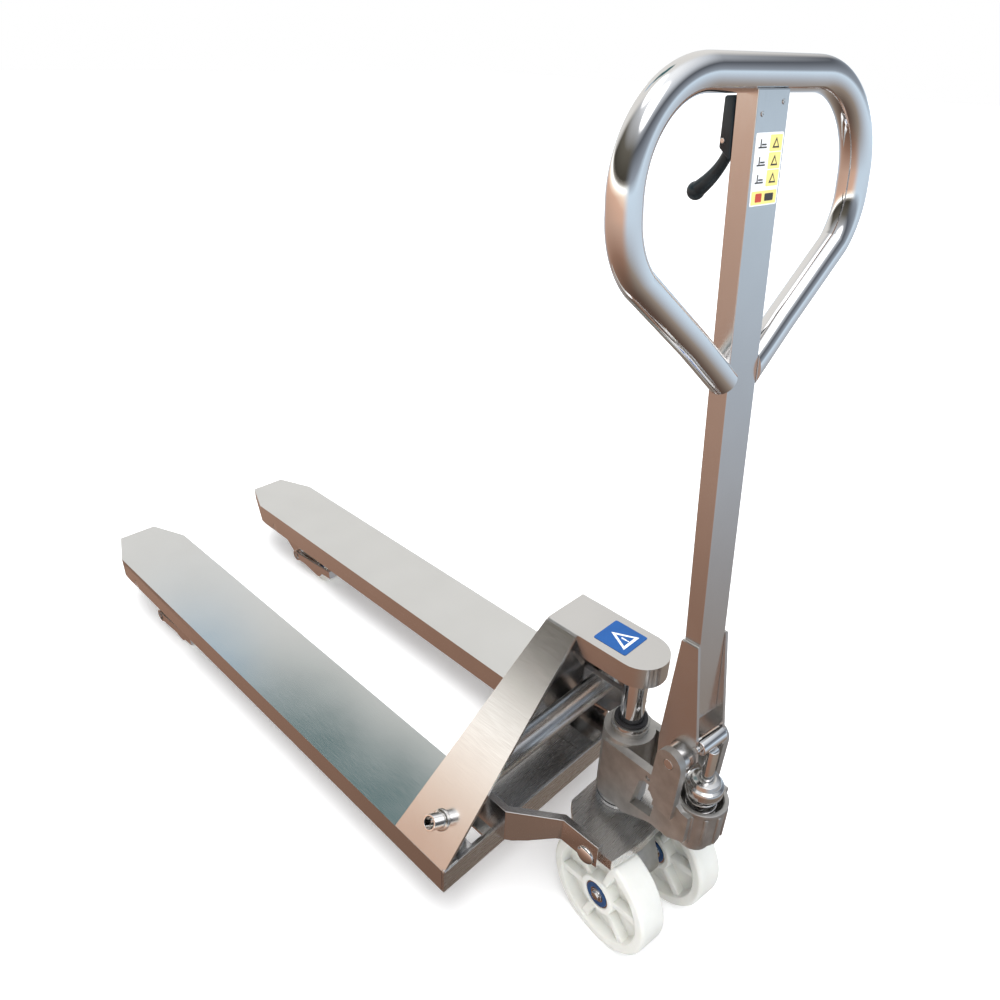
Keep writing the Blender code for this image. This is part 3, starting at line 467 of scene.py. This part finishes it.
def spoked_wheel():
    rim_hub = [(WHEEL_R - 0.0035, HALF_WIDTH), (WHEEL_R, HALF_WIDTH - 0.0035),
               (WHEEL_R, 0.0035 - HALF_WIDTH), (WHEEL_R - 0.0035, -HALF_WIDTH),
               (RIM_R, -HALF_WIDTH), (RIM_R - 0.0030, -WEB), (HUB_R + 0.0020, -WEB), (HUB_R, -HALF_WIDTH),
               (BORE_R, -HALF_WIDTH), (BORE_R, HALF_WIDTH),
               (HUB_R, HALF_WIDTH), (HUB_R + 0.0020, WEB), (RIM_R - 0.0030, WEB), (RIM_R, HALF_WIDTH)]
    shape = lathe(rim_hub, 96, 0.0022)
    inner, outer = HUB_R - 0.003, RIM_R + 0.003
    for i in range(RIBS):
        turn = Matrix.Rotation(math.radians(360 / RIBS * i + 14), 4, "Z")
        before = set(shape.verts)
        rib = bmesh.ops.create_cube(shape, size=1.0)["verts"]
        for vert in rib:
            far_end = vert.co.x > 0
            vert.co = Vector((outer if far_end else inner, vert.co.y * (0.0150 if far_end else 0.0115),
                              vert.co.z * 2 * (HALF_WIDTH - 0.0045)))
        edges = list({edge for vert in rib for edge in vert.link_edges})
        bmesh.ops.bevel(shape, geom=edges, offset=0.0022, segments=3, profile=0.5, affect="EDGES",
                        material=-1)
        bmesh.ops.transform(shape, matrix=turn, verts=[vert for vert in shape.verts if vert not in before])
    return shape


for side, sign in SIDES:
    body = f"steer_wheel_{side}"
    place = joint_place(f"steer_wheel_{side}_spin") @ HEAD.to_3x3().to_4x4() @ TURN_TO_Y
    finish_piece(f"steer_wheel_{side}_moulding", spoked_wheel(), place, NYLON, body,
                 (f"steer_wheel_{side}",))
    for end, label in ((-1, "inner"), (1, "outer")):
        middle = place @ Matrix.Translation((0, 0, end * sign * 0.0165))
        node = f"bearing_{side}_{label}"
        turned(f"{node}_race", ring(0.0235, 0.0105, 0.007), middle, MACHINED, body, (node,), 56, 0.0006)
        face = middle @ Matrix.Translation((0, 0, end * sign * 0.0074))
        turned(f"{node}_seal", ring(0.0212, 0.0135, 0.0007), face, SEAL_BLUE, body, steps=56)

# %% [markdown]
# ## Axle with its bolts
# The axle is a plain bar, and a hexagon bolt with a washer stands at each end of it. The bolt's head is a
# six-sided prism whose top edge is chamfered, as if the corners were turned off.

# %% axle, bolts and washers


def hexagon_bolt(name, place, size, thickness, material, body):
    """A hexagon head with a washer under it; size is across the flats."""
    shape = bmesh.new()
    corner = size / 2 / math.cos(math.pi / 6)
    head = bmesh.ops.create_cone(shape, cap_ends=True, segments=6, radius1=corner, radius2=corner,
                                 depth=thickness)
    bmesh.ops.translate(shape, vec=(0, 0, thickness / 2), verts=head["verts"])
    top = [edge for edge in shape.edges if all(v.co.z > thickness * 0.9 for v in edge.verts)]
    bmesh.ops.bevel(shape, geom=top, offset=thickness * 0.16, segments=3, profile=0.5, affect="EDGES",
                    material=-1)
    washer = bmesh.ops.create_cone(shape, cap_ends=True, segments=40, radius1=size * 0.85,
                                   radius2=size * 0.82, depth=thickness * 0.22)
    bmesh.ops.translate(shape, vec=(0, 0, thickness * 0.02), verts=washer["verts"])
    return finish_piece(name, shape, place, material, body, recalculate=False)


AXLE_RADIUS, AXLE_END = 0.010, 0.0922      # the bolts sit a hair off the axle's ends
axle = at(HEAD, -0.056, 0, WHEEL_R, TURN_TO_Y)
bar_piece("steer_axle_bar", AXLE_RADIUS, 2 * 0.092, axle, MIRROR, "steer_head", ("steer_axle",))
for side, sign in SIDES:
    flip = Matrix() if sign > 0 else Matrix.Rotation(math.pi, 4, "X")
    end_place = axle @ flip @ Matrix.Translation((0, 0, -AXLE_END)) @ Matrix.Rotation(math.pi, 4, "X")
    hexagon_bolt(f"axle_bolt_{side}", end_place, 0.0130, 0.0040, MACHINED, "steer_head")
print("axle bolts fitted")

# %% [markdown]
# ## Bent bar, spring wire and weld metal
# A handle loop, a spring and a weld bead are all the same kind of shape: a circle carried along a line.
# Rings are set square to the line and neighbours are bridged. For a weld the ring's size swells and
# shrinks a little, which gives the ripples that each drop of molten metal leaves behind. The loop's far
# end would stick out of the mast, so it is cut off there.

# %% sweep a circle along a line


def sweep(shape, points, radius, sides=20):
    """A bar with closed ends; radius is a number, or a function of the point's index."""
    size = radius if callable(radius) else (lambda i: radius)
    points = [Vector(p) for p in points]
    loops, side_way = [], None
    for i, point in enumerate(points):
        ahead, behind = points[min(i + 1, len(points) - 1)], points[max(i - 1, 0)]
        along = (ahead - behind).normalized()
        if side_way is None:
            side_way = along.orthogonal()
        side_way = (side_way - along * side_way.dot(along)).normalized()
        frame_here = Matrix((side_way, along.cross(side_way), along)).transposed().to_4x4()
        circle = bmesh.ops.create_circle(shape, segments=sides, radius=size(i),
                                         matrix=Matrix.Translation(point) @ frame_here)
        loops.append(list({edge for vert in circle["verts"] for edge in vert.link_edges}))
    for this_loop, next_loop in zip(loops, loops[1:]):
        bmesh.ops.bridge_loops(shape, edges=this_loop + next_loop)
    bmesh.ops.holes_fill(shape, edges=loops[0] + loops[-1], sides=sides + 1)
    return shape


def arc_points(centre, radius, start, end, count):
    """Points of an arc in the mast's own Y and Z."""
    return [(0, centre[0] + radius * math.cos(math.radians(start + (end - start) * i / count)),
             centre[1] + radius * math.sin(math.radians(start + (end - start) * i / count)))
            for i in range(count + 1)]


def mirrored(half):
    return half + [(x, -y, z) for x, y, z in reversed(half)]


LOOP_TOP, LOOP_BAR = 0.834, 0.017
LOOP_CUT = 0.0254      # the loop's far end stops here, a hair outside the mast's side
half_loop = [(0, 0.018, LOOP_TOP - 0.2971), (0, 0.045, LOOP_TOP - 0.2726), (0, 0.075, LOOP_TOP - 0.2455)]
half_loop += arc_points((0.096, LOOP_TOP - 0.114), 0.088, -42, 0, 14)
half_loop += arc_points((0.083, LOOP_TOP - 0.101), 0.101, 3, 90, 24) + [(0, 0.04, LOOP_TOP)]
loop = sweep(bmesh.new(), mirrored(half_loop), LOOP_BAR, 40)
far_end = {v for v in loop.verts if v.co.y < 0 and v.co.z < LOOP_TOP - 0.23}
cut_here = [f for f in loop.faces if all(v in far_end for v in f.verts)]
cut_here += list({e for f in cut_here for e in f.edges}) + list(far_end)
bmesh.ops.bisect_plane(loop, geom=cut_here, plane_co=(0, -LOOP_CUT, 0), plane_no=(0, 1, 0),
                       clear_outer=True)
bmesh.ops.holes_fill(loop, edges=[e for e in loop.edges if e.is_boundary], sides=0)
finish_piece("handle_loop_bar", loop, MAST, MIRROR, "mast", ("handle_loop",))
print("handle loop of", len(mirrored(half_loop)), "rings")

# %% [markdown]
# Weld beads run where sheet meets sheet. They follow the seams: along the foot of each side strip and of
# the headboard, beside the lug, on the yokes, and where the loop meets the mast.

# %% weld beads


def bead(name, points, body, place=TRUCK, radius=0.0032, pitch=0.0026):
    """A rippled bead through the given corner points."""
    points = [Vector(p) for p in points]
    line = []
    for start, end in zip(points, points[1:]):
        steps = max(2, int((end - start).length / pitch * 3))
        line += [start.lerp(end, i / steps) for i in range(steps)]
    line.append(points[-1])

    def ripple(i):
        return radius * (0.86 + 0.16 * abs(math.sin(i * math.pi / 3 + 0.4)))

    return finish_piece(name, sweep(bmesh.new(), line, ripple, 12), place, WELD, body,
                        smooth=60)


FORK_EDGE, FORK_TOP = 0.2700, 0.1505
for side, sign in SIDES:
    seam, back = sign * (FORK_EDGE - 0.0068), -0.1185
    bead(f"weld_strip_foot_{side}", [(-0.117, seam, FORK_TOP), (-0.004, seam, FORK_TOP)], "lift_frame",
         radius=0.0026)
    bead(f"weld_strip_rear_{side}", [(back, sign * (FORK_EDGE - 0.001), FORK_TOP),
                                     (back, sign * (FORK_EDGE - 0.030), FORK_TOP + 0.0003)],
         "lift_frame", radius=0.0038)
    bead(f"weld_lug_{side}", [(-0.160, sign * 0.0405, 0.4880), (-0.106, sign * 0.0405, 0.4880)],
         "lift_frame", radius=0.0026)
    bead(f"weld_yoke_{side}", [(-0.0128, sign * 0.0270, 0.189), (0.0128, sign * 0.0270, 0.189)], "mast",
         MAST, 0.0022)
    bead(f"weld_loop_{side}", [(-0.009, sign * 0.0270, 0.548), (0.009, sign * 0.0270, 0.548)], "mast",
         MAST, 0.0028)
bead("weld_headboard", [(-0.0015, -0.255, 0.1515), (-0.0015, 0.255, 0.1515)], "lift_frame", radius=0.0022)
print("weld beads laid")

# %% [markdown]
# ## The pump
# One casting holds the oil tank, the lift cylinder and the pump cup. Its edges are rounded by the mould.
# Turned pieces sit in it: the seal round the piston, and the plunger with its cap and spring. The mast's
# roller presses the cap down as the mast tilts, and the spring moves with the plunger as one rigid piece.

# %% pump casting and its turned pieces
refined("pump_body", CAST, 0.0016, 2, 40)
CUP_BACK = 0.1445      # the pump cup stands this far behind the steering axis
cup = at(HEAD, -CUP_BACK, 0, 0)
rim = [(0.0374, 0.3545), (0.0374, 0.3480), (0.0355, 0.3465), (0.0307, 0.3480), (0.0307, 0.3545)]
turned("pump_cup_rim", rim, cup, CAST, "steer_head", (), 64, 0.0010)
turned("pump_cup_gland", [(0.0150, 0.2920), (0.0125, 0.2800), (0.0092, 0.2800), (0.0092, 0.2920)], cup,
       MACHINED, "steer_head", (), 40, 0.0012)
for i, degrees in enumerate((108, 140, 172, 204, 236)):
    rib = bmesh.new()
    bmesh.ops.create_cube(rib, size=1.0)
    bmesh.ops.scale(rib, vec=(0.0050, 0.0060, 0.0540), verts=rib.verts)
    bmesh.ops.bevel(rib, geom=rib.edges[:], offset=0.0014, segments=3, profile=0.5, affect="EDGES",
                    material=-1)
    turn = Matrix.Rotation(math.radians(degrees), 4, "Z") @ Matrix.Translation((0.0358, 0, 0.3200))
    finish_piece(f"pump_cup_rib_{i}", rib, cup @ turn, CAST, "steer_head")
seal = [(0.0255, 0.002), (0.0255, -0.002), (0.0183, -0.002), (0.0183, 0.0005), (0.0215, 0.002)]
turned("wiper_ring_seal", seal, at(HEAD, 0, 0, 0.3902), RUBBER, "steer_head", ("wiper_ring",), 64, 0.0005)
turned("collar_cap", [(0.0292, 0.0009), (0.0296, -0.0060), (0.0287, -0.0060), (0.0282, 0.0)],
       at(HEAD, 0, 0, 0.3870), MACHINED, "steer_head", (), 64, 0.0004)
low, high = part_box("thrust_bearing")
turned("thrust_bearing_race", ring(0.038, 0.0248, 0.00825),
       at(HEAD, 0, 0, (low.z + high.z) / 2), MACHINED, "base", ("thrust_bearing",), 64, 0.0012)
# A thin band of black seal rubber round the race's middle is painted shade: it stands for the dark gap
# between the bearing's two halves.
turned("thrust_bearing_gap_shade", ring(0.0383, 0.0350, 0.0012),
       at(HEAD, 0, 0, (low.z + high.z) / 2), RUBBER, "base", (), 64, 0.0003)
low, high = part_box("pump_plunger")
turned("pump_plunger_rod", [(0.0085, high.z), (0.0085, low.z), (0.0, low.z), (0.0, high.z)], cup, MIRROR,
       "plunger", ("pump_plunger",), 48, 0.0010)
cap = [(0.0135, 0.392), (0.0200, 0.3905), (0.0215, 0.3840), (0.0262, 0.3815), (0.0270, 0.3790),
       (0.0270, 0.3680), (0.0255, 0.3680), (0.0255, 0.3760), (0.0088, 0.3775), (0.0088, 0.392)]
turned("spring_cap_skin", cap, cup, MACHINED, "plunger", ("spring_cap",), 64, 0.0008)
COILS, POINTS_A_COIL, COIL_RADIUS, WIRE_RADIUS = 4, 28, 0.021, 0.0021
SPRING_FOOT, SPRING_LENGTH = 0.3075, 0.0575
coils = []
for i in range(COILS * POINTS_A_COIL + 1):
    t = i / (COILS * POINTS_A_COIL)
    angle = 2 * math.pi * COILS * t
    coils.append((COIL_RADIUS * math.cos(angle), COIL_RADIUS * math.sin(angle),
                  SPRING_FOOT + SPRING_LENGTH * t))
spring = finish_piece("plunger_spring_wire", sweep(bmesh.new(), coils, WIRE_RADIUS, 14), cup, MACHINED,
                      "plunger", ("plunger_spring",))
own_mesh(spring)
print("pump pieces turned")

# %% [markdown]
# The small bright pieces come next: the pin and the roller at the mast's foot, the pin of the lever, the
# thin rod inside the mast that opens the valve, and a short socket tube beside the side strip.

# %% pins and roller of the mast, release rod, side socket
press = at(MAST, -0.0262, 0, 0.0307, TURN_TO_Y)
bar_piece("press_pin_bar", 0.005, 0.062, press, MACHINED, "mast", ("press_pin",))
turned("press_roller_drum", ring(0.011, 0.0053, 0.024), press, MIRROR,
       "press_roller", ("press_roller",), 56, 0.0015)
lever_place = joint_place("finger_lever") @ MAST.to_3x3().to_4x4() @ TURN_TO_Y
bar_piece("lever_pin_bar", 0.0025, 0.0555, lever_place, MIRROR, "mast", ("lever_pin",), soft=0.0005)
ROD_RADIUS, ROD_LINE = 0.0025, [(0, 0, 0.0695), (0, 0, 0.400), (0, 0, 0.7325)]
finish_piece("release_rod_bar", sweep(bmesh.new(), ROD_LINE, ROD_RADIUS), MAST, MACHINED, "release_rod",
             ("release_rod",))
for side, sign in SIDES:
    refined(f"pivot_pin_{side}", MIRROR, 0.0009, 3, 30)
refined("side_socket", MIRROR, 0.0006, 2, 30)
socket = at(TRUCK, -0.077, 0.236, 0.2057, Matrix.Rotation(math.radians(-58.66), 4, "X"))
turned("side_socket_collar", [(0.0172, 0.0030), (0.0172, -0.0010), (0.0128, -0.0010), (0.0128, 0.0048)],
       socket, WELD, "lift_frame", (), 56, 0.0012)
print("pins, roller, rod and socket made")

# %% [markdown]
# ## The release lever
# The operator pulls a curved black lever to lower the load. It hangs in a narrow black housing at the top
# of the mast, and it ends in a rounded knob that a finger finds without looking. The lever is a bar whose
# thickness changes along its curve.

# %% lever and housing
HOUSING_SIZE, HOUSING_MIDDLE = (0.0120, 0.0530, 0.0580), (0.0190, 0, 0.7870)
LEVER_STEPS, KNOB_RADIUS = 30, 0.0098
housing = bmesh.new()
bmesh.ops.create_cube(housing, size=1.0)
bmesh.ops.scale(housing, vec=HOUSING_SIZE, verts=housing.verts)
bmesh.ops.translate(housing, vec=HOUSING_MIDDLE, verts=housing.verts)
slanted = [v for v in housing.verts if v.co.x > 0.02 and v.co.z < 0.78]
bmesh.ops.translate(housing, vec=(0.0020, 0, 0.0120), verts=slanted)
bmesh.ops.bevel(housing, geom=housing.edges[:], offset=0.0022, segments=3, profile=0.5, affect="EDGES",
                material=-1)
finish_piece("lever_housing_shell", housing, MAST, BLACK, "mast", ("lever_housing",))
curve = interpolate_bezier((0.020, 0, 0.788), (0.034, 0, 0.772), (0.032, 0, 0.752), (0.0705, 0, 0.7275),
                           LEVER_STEPS)


def lever_radius(i):
    """Thick at both ends, slim between."""
    return 0.0088 - 0.0030 * math.sin(math.pi * i / (LEVER_STEPS - 1))


lever = sweep(bmesh.new(), curve, lever_radius, 24)
knob = bmesh.ops.create_uvsphere(lever, u_segments=28, v_segments=18, radius=KNOB_RADIUS)
bmesh.ops.translate(lever, vec=(0.0715, 0, 0.7268), verts=knob["verts"])
finish_piece("release_lever_curve", lever, MAST, BLACK, "release_lever", ("release_lever",))
for name, y, z in (("mast_screw_near", 0.0160, 0.7990), ("mast_screw_far", -0.0160, 0.8090)):
    screw = MAST @ Matrix.Translation((-0.0127, y, z)) @ Matrix.Rotation(math.radians(-90), 4, "Y")
    turned(name, [(0.0022, 0.0008), (0.0026, -0.0004), (0.0, -0.0004), (0.0, 0.0004), (0.0010, 0.0008)],
           screw, MACHINED, "mast", (), 32, 0.0002)
print("lever, housing and two screws made")

# %% [markdown]
# ## Signs without words
# A blue label with a white triangle lies on the lug, and a small picture panel sits on the rear of the
# mast. They show hazards by simple shapes only. Each is a thin sheet that stands a hair above the metal.

# %% labels
SHEET, INK = 0.0003, 0.0002      # thickness of a label's sheet, and of each layer of print on it


def flat_label(name, corners, place, level, material, body):
    """The sheet of a label at level 0, or a layer of print above it, in the label's own XY."""
    height, thickness = (SHEET + (level - 1) * INK, INK) if level else (0, SHEET)
    shape = bmesh.new()
    face = shape.faces.new([shape.verts.new((x, y, 0)) for x, y in corners])
    side = bmesh.ops.extrude_face_region(shape, geom=[face])
    bmesh.ops.translate(shape, vec=(0, 0, thickness),
                        verts=[v for v in side["geom"] if isinstance(v, bmesh.types.BMVert)])
    return finish_piece(name, shape, at(place, 0, 0, height), material, body)


def box_corners(x, y, width, height, corner=0.0):
    left, right, low_y, high_y = x - width / 2, x + width / 2, y - height / 2, y + height / 2
    if not corner:
        return [(left, low_y), (right, low_y), (right, high_y), (left, high_y)]
    points = []
    for cx, cy, start in ((right - corner, high_y - corner, 0), (left + corner, high_y - corner, 90),
                          (left + corner, low_y + corner, 180), (right - corner, low_y + corner, 270)):
        points += [(cx + corner * math.cos(math.radians(start + a)),
                    cy + corner * math.sin(math.radians(start + a)))
                   for a in (0, 30, 60, 90)]
    return points


lug_label = at(TRUCK, -0.210, 0, 0.5222)
for name, corners, level, material in (
        ("base", box_corners(0, 0, 0.058, 0.056, 0.003), 0, LABEL_BLUE),
        ("triangle", [(-0.020, -0.019), (-0.020, 0.019), (0.017, 0.0)], 1, LABEL_WHITE),
        ("centre", [(-0.0155, -0.0125), (-0.0155, 0.0125), (0.0088, 0.0)], 2, LABEL_BLUE),
        ("stroke", box_corners(-0.0065, 0, 0.010, 0.0026, 0.001), 3, LABEL_WHITE),
        ("dot", box_corners(-0.0135, 0, 0.0026, 0.0026, 0.001), 3, LABEL_WHITE)):
    flat_label(f"lug_label_{name}", corners, lug_label, level, material, "lift_frame")

panel_turn = Matrix(((0, 0, -1, 0), (-1, 0, 0, 0), (0, 1, 0, 0), (0, 0, 0, 1)))   # it faces the operator
panel = MAST @ Matrix.Translation((-0.0126, 0, 0.750)) @ panel_turn
flat_label("mast_panel_base", box_corners(0, 0, 0.044, 0.066, 0.002), panel, 0, LABEL_WHITE, "mast")
ROW, LEFT, RIGHT, FOOT = 0.0148, -0.0105, 0.0105, -0.0255
STROKES = ((0, -0.0035, 0.013, 0.0014), (-0.0030, 0.0005, 0.0016, 0.0070),
           (0.0022, -0.0010, 0.0070, 0.0014))
for row in range(3):
    height = 0.0235 - row * (ROW + 0.001)
    sign_outside = [(RIGHT - 0.0055, height - 0.0045), (RIGHT + 0.0055, height - 0.0045),
                    (RIGHT, height + 0.0050)]
    sign_inside = [(RIGHT - 0.0030, height - 0.0030), (RIGHT + 0.0030, height - 0.0030),
                   (RIGHT, height + 0.0022)]
    flat_label(f"mast_panel_cell_{row}", box_corners(RIGHT, height, 0.0195, ROW, 0.001), panel, 1,
               LABEL_YELLOW, "mast")
    flat_label(f"mast_panel_symbol_{row}", sign_outside, panel, 2, INK_BLACK, "mast")
    flat_label(f"mast_panel_symbol_inside_{row}", sign_inside, panel, 3, LABEL_YELLOW, "mast")
    for part, (dx, dy, w, h) in enumerate(STROKES):
        flat_label(f"mast_panel_drawing_{row}_{part}", box_corners(LEFT + dx, height + dy, w, h), panel, 1,
                   INK_BLACK, "mast")
for name, x, width, tall, level, material in (("foot", 0, 0.0405, 0.0125, 1, LABEL_YELLOW),
                                              ("foot_red", -0.009, 0.010, 0.0080, 2, INK_RED),
                                              ("foot_black", 0.008, 0.014, 0.0070, 2, INK_BLACK)):
    flat_label(f"mast_panel_{name}", box_corners(x, FOOT, width, tall, 0.001), panel, level, material,
               "mast")
print("labels laid")

# %% [markdown]
# ## What the steel reflects
# Polished steel shows its surroundings more than itself, so the surroundings do much of the modelling.
# The World is painted by direction: white for the camera, but for reflections a warm dark floor, a bright
# band at the horizon, a grey hall above and big white soft boxes overhead. The floor is kept out of
# reflections so that the lower half of the World can do its work.

# %% surroundings
world = bpy.context.scene.world or bpy.data.worlds.new("surroundings")
bpy.context.scene.world = world
world.use_nodes = True
wn, wl = world.node_tree.nodes, world.node_tree.links
wn.clear()


def towards(azimuth, elevation):
    a, e = math.radians(azimuth), math.radians(elevation)
    return Vector((math.cos(e) * math.cos(a), math.cos(e) * math.sin(a), math.sin(e)))


def world_ramp(stops):
    ramp = wn.new("ShaderNodeValToRGB")
    while len(ramp.color_ramp.elements) < len(stops):
        ramp.color_ramp.elements.new(0.5)
    for element, (degrees, colour) in zip(ramp.color_ramp.elements, stops):
        element.position = (math.sin(math.radians(degrees)) + 1) / 2
        element.color = (*colour, 1)
    return ramp


def blend_colours(factor, first, second):
    mix = wn.new("ShaderNodeMix")
    mix.data_type = "RGBA"
    wl.new(factor, mix.inputs["Factor"])
    for socket, value in ((mix.inputs["A"], first), (mix.inputs["B"], second)):
        if isinstance(value, tuple):
            socket.default_value = (*value, 1)
        else:
            wl.new(value, socket)
    return mix.outputs["Result"]


direction = wn.new("ShaderNodeTexCoord").outputs["Generated"]
split = wn.new("ShaderNodeSeparateXYZ")
wl.new(direction, split.inputs["Vector"])
height = wn.new("ShaderNodeMath")
height.operation = "MULTIPLY_ADD"
height.inputs[1].default_value, height.inputs[2].default_value = 0.5, 0.5
wl.new(split.outputs["Z"], height.inputs[0])


def facing(azimuth, elevation, inner, outer):
    """1 within inner degrees of a direction, 0 beyond outer degrees."""
    dot = wn.new("ShaderNodeVectorMath")
    dot.operation = "DOT_PRODUCT"
    dot.inputs[1].default_value = towards(azimuth, elevation)
    wl.new(direction, dot.inputs[0])
    ranged = wn.new("ShaderNodeMapRange")
    ranged.interpolation_type = "SMOOTHSTEP"
    ranged.inputs["From Min"].default_value = math.cos(math.radians(outer))
    ranged.inputs["From Max"].default_value = math.cos(math.radians(inner))
    wl.new(dot.outputs["Value"], ranged.inputs["Value"])
    return ranged.outputs["Result"]


ahead_ramp = world_ramp([(-90, (0.12, 0.07, 0.05)), (-38, (0.30, 0.175, 0.125)), (-12, (0.56, 0.375, 0.29)),
                         (-2, (0.74, 0.47, 0.35)), (1, (0.98, 0.74, 0.58)), (3.5, (1.20, 1.08, 0.94)),
                         (6.5, (1.95, 1.95, 1.90)), (8.5, (1.25, 1.25, 1.20)), (10.5, (0.28, 0.26, 0.23)),
                         (14, (0.055, 0.05, 0.04)), (34, (0.13, 0.12, 0.10)), (60, (0.55, 0.57, 0.60)),
                         (90, (1.05, 1.08, 1.12))])
behind_ramp = world_ramp([(-90, (0.10, 0.065, 0.05)), (-38, (0.30, 0.25, 0.21)), (-14, (0.50, 0.56, 0.64)),
                          (3, (0.66, 0.80, 0.94)), (10, (0.30, 0.34, 0.40)), (30, (0.10, 0.11, 0.13)),
                          (48, (0.62, 0.66, 0.72)), (90, (1.05, 1.08, 1.12))])
wl.new(height.outputs["Value"], ahead_ramp.inputs["Fac"])
wl.new(height.outputs["Value"], behind_ramp.inputs["Fac"])
surround = blend_colours(facing(57, 0, 55, 100), behind_ramp.outputs["Color"], ahead_ramp.outputs["Color"])
for azimuth, elevation, inner, outer, colour in (
        (-34, 36, 26, 48, (0.80, 0.79, 0.77)),          # a pale wall that the fork tops mirror
        (-19.5, 40, 1.5, 5.0, (0.260, 0.440, 0.600)),   # daylight through a window
        (-34.5, 53, 4.0, 8.0, (0.055, 0.140, 0.150)),   # a dark doorway, upper part
        (-26.5, 46.5, 3.0, 6.5, (0.065, 0.150, 0.160)),  # and its lower part
        (150, 62, 14, 22, (2.3, 2.3, 2.35)),            # soft box behind the operator
        (20, 75, 10, 18, (2.0, 2.0, 2.05))):            # soft box overhead
    surround = blend_colours(facing(azimuth, elevation, inner, outer), surround, colour)
seen = wn.new("ShaderNodeLightPath")
shown = blend_colours(seen.outputs["Is Camera Ray"], surround, (1.0, 1.0, 1.0))
background = wn.new("ShaderNodeBackground")
wl.new(shown, background.inputs["Color"])
background.inputs["Strength"].default_value = 1.0
wl.new(background.outputs["Background"], wn.new("ShaderNodeOutputWorld").inputs["Surface"])
print("surroundings painted with", len(wn), "nodes")

# %% [markdown]
# The floor is plain and pale, the lights are large, so shadows stay faint and wide under the wheels and
# forks. The floor glows a little more with distance, so that it fades into the white behind it.

# %% floor and lights


def area_light(name, azimuth, elevation, distance, size, power):
    data = bpy.data.lights.new(name, "AREA")
    data.shape, data.size, data.energy = "DISK", size, power
    light = bpy.data.objects.new(name, data)
    bpy.context.scene.collection.objects.link(light)
    place = towards(azimuth, elevation) * distance
    light.matrix_world = Matrix.Translation(place) @ (-place).to_track_quat("-Z", "Y").to_matrix().to_4x4()
    light.visible_glossy = False
    return light


floor_shape = bmesh.new()
bmesh.ops.create_grid(floor_shape, x_segments=1, y_segments=1, size=30)
floor_mesh = bpy.data.meshes.new("floor")
floor_shape.to_mesh(floor_mesh)
floor_shape.free()
floor = bpy.data.objects.new("floor", floor_mesh)
bpy.context.scene.collection.objects.link(floor)
floor_material, floor_nodes, floor_links, floor_shader = new_material("pale_floor")
floor_mottle = pattern(floor_nodes, floor_links, (1, 1, 1), 3.0, 3.0)
floor_links.new(two_tones(floor_nodes, floor_links, floor_mottle, (0.955, 0.955, 0.955),
                          (0.97, 0.97, 0.97)),
                floor_shader.inputs["Base Color"])
floor_shader.inputs["Roughness"].default_value = 0.8
floor_shader.inputs["Emission Color"].default_value = (1, 1, 1, 1)
floor_place = floor_nodes.new("ShaderNodeTexCoord")
floor_distance = floor_nodes.new("ShaderNodeVectorMath")
floor_distance.operation = "LENGTH"
floor_links.new(floor_place.outputs["Object"], floor_distance.inputs[0])
glow = floor_nodes.new("ShaderNodeMapRange")
glow.inputs["From Min"].default_value, glow.inputs["From Max"].default_value = 0.9, 3.0
glow.inputs["To Min"].default_value, glow.inputs["To Max"].default_value = 0.22, 0.75
floor_links.new(floor_distance.outputs["Value"], glow.inputs["Value"])
floor_links.new(glow.outputs["Result"], floor_shader.inputs["Emission Strength"])
floor_mesh.materials.append(floor_material)
floor.visible_glossy = False
lights = [area_light("key_light", 140, 62, 4.0, 2.6, 70), area_light("fill_light", -60, 50, 4.5, 3.0, 40),
          area_light("top_light", 30, 85, 4.2, 3.4, 60)]
view_settings = bpy.context.scene.view_settings
view_settings.view_transform, view_settings.look, view_settings.exposure = "Standard", "None", 0.0
print("floor and", len(lights), "lights")
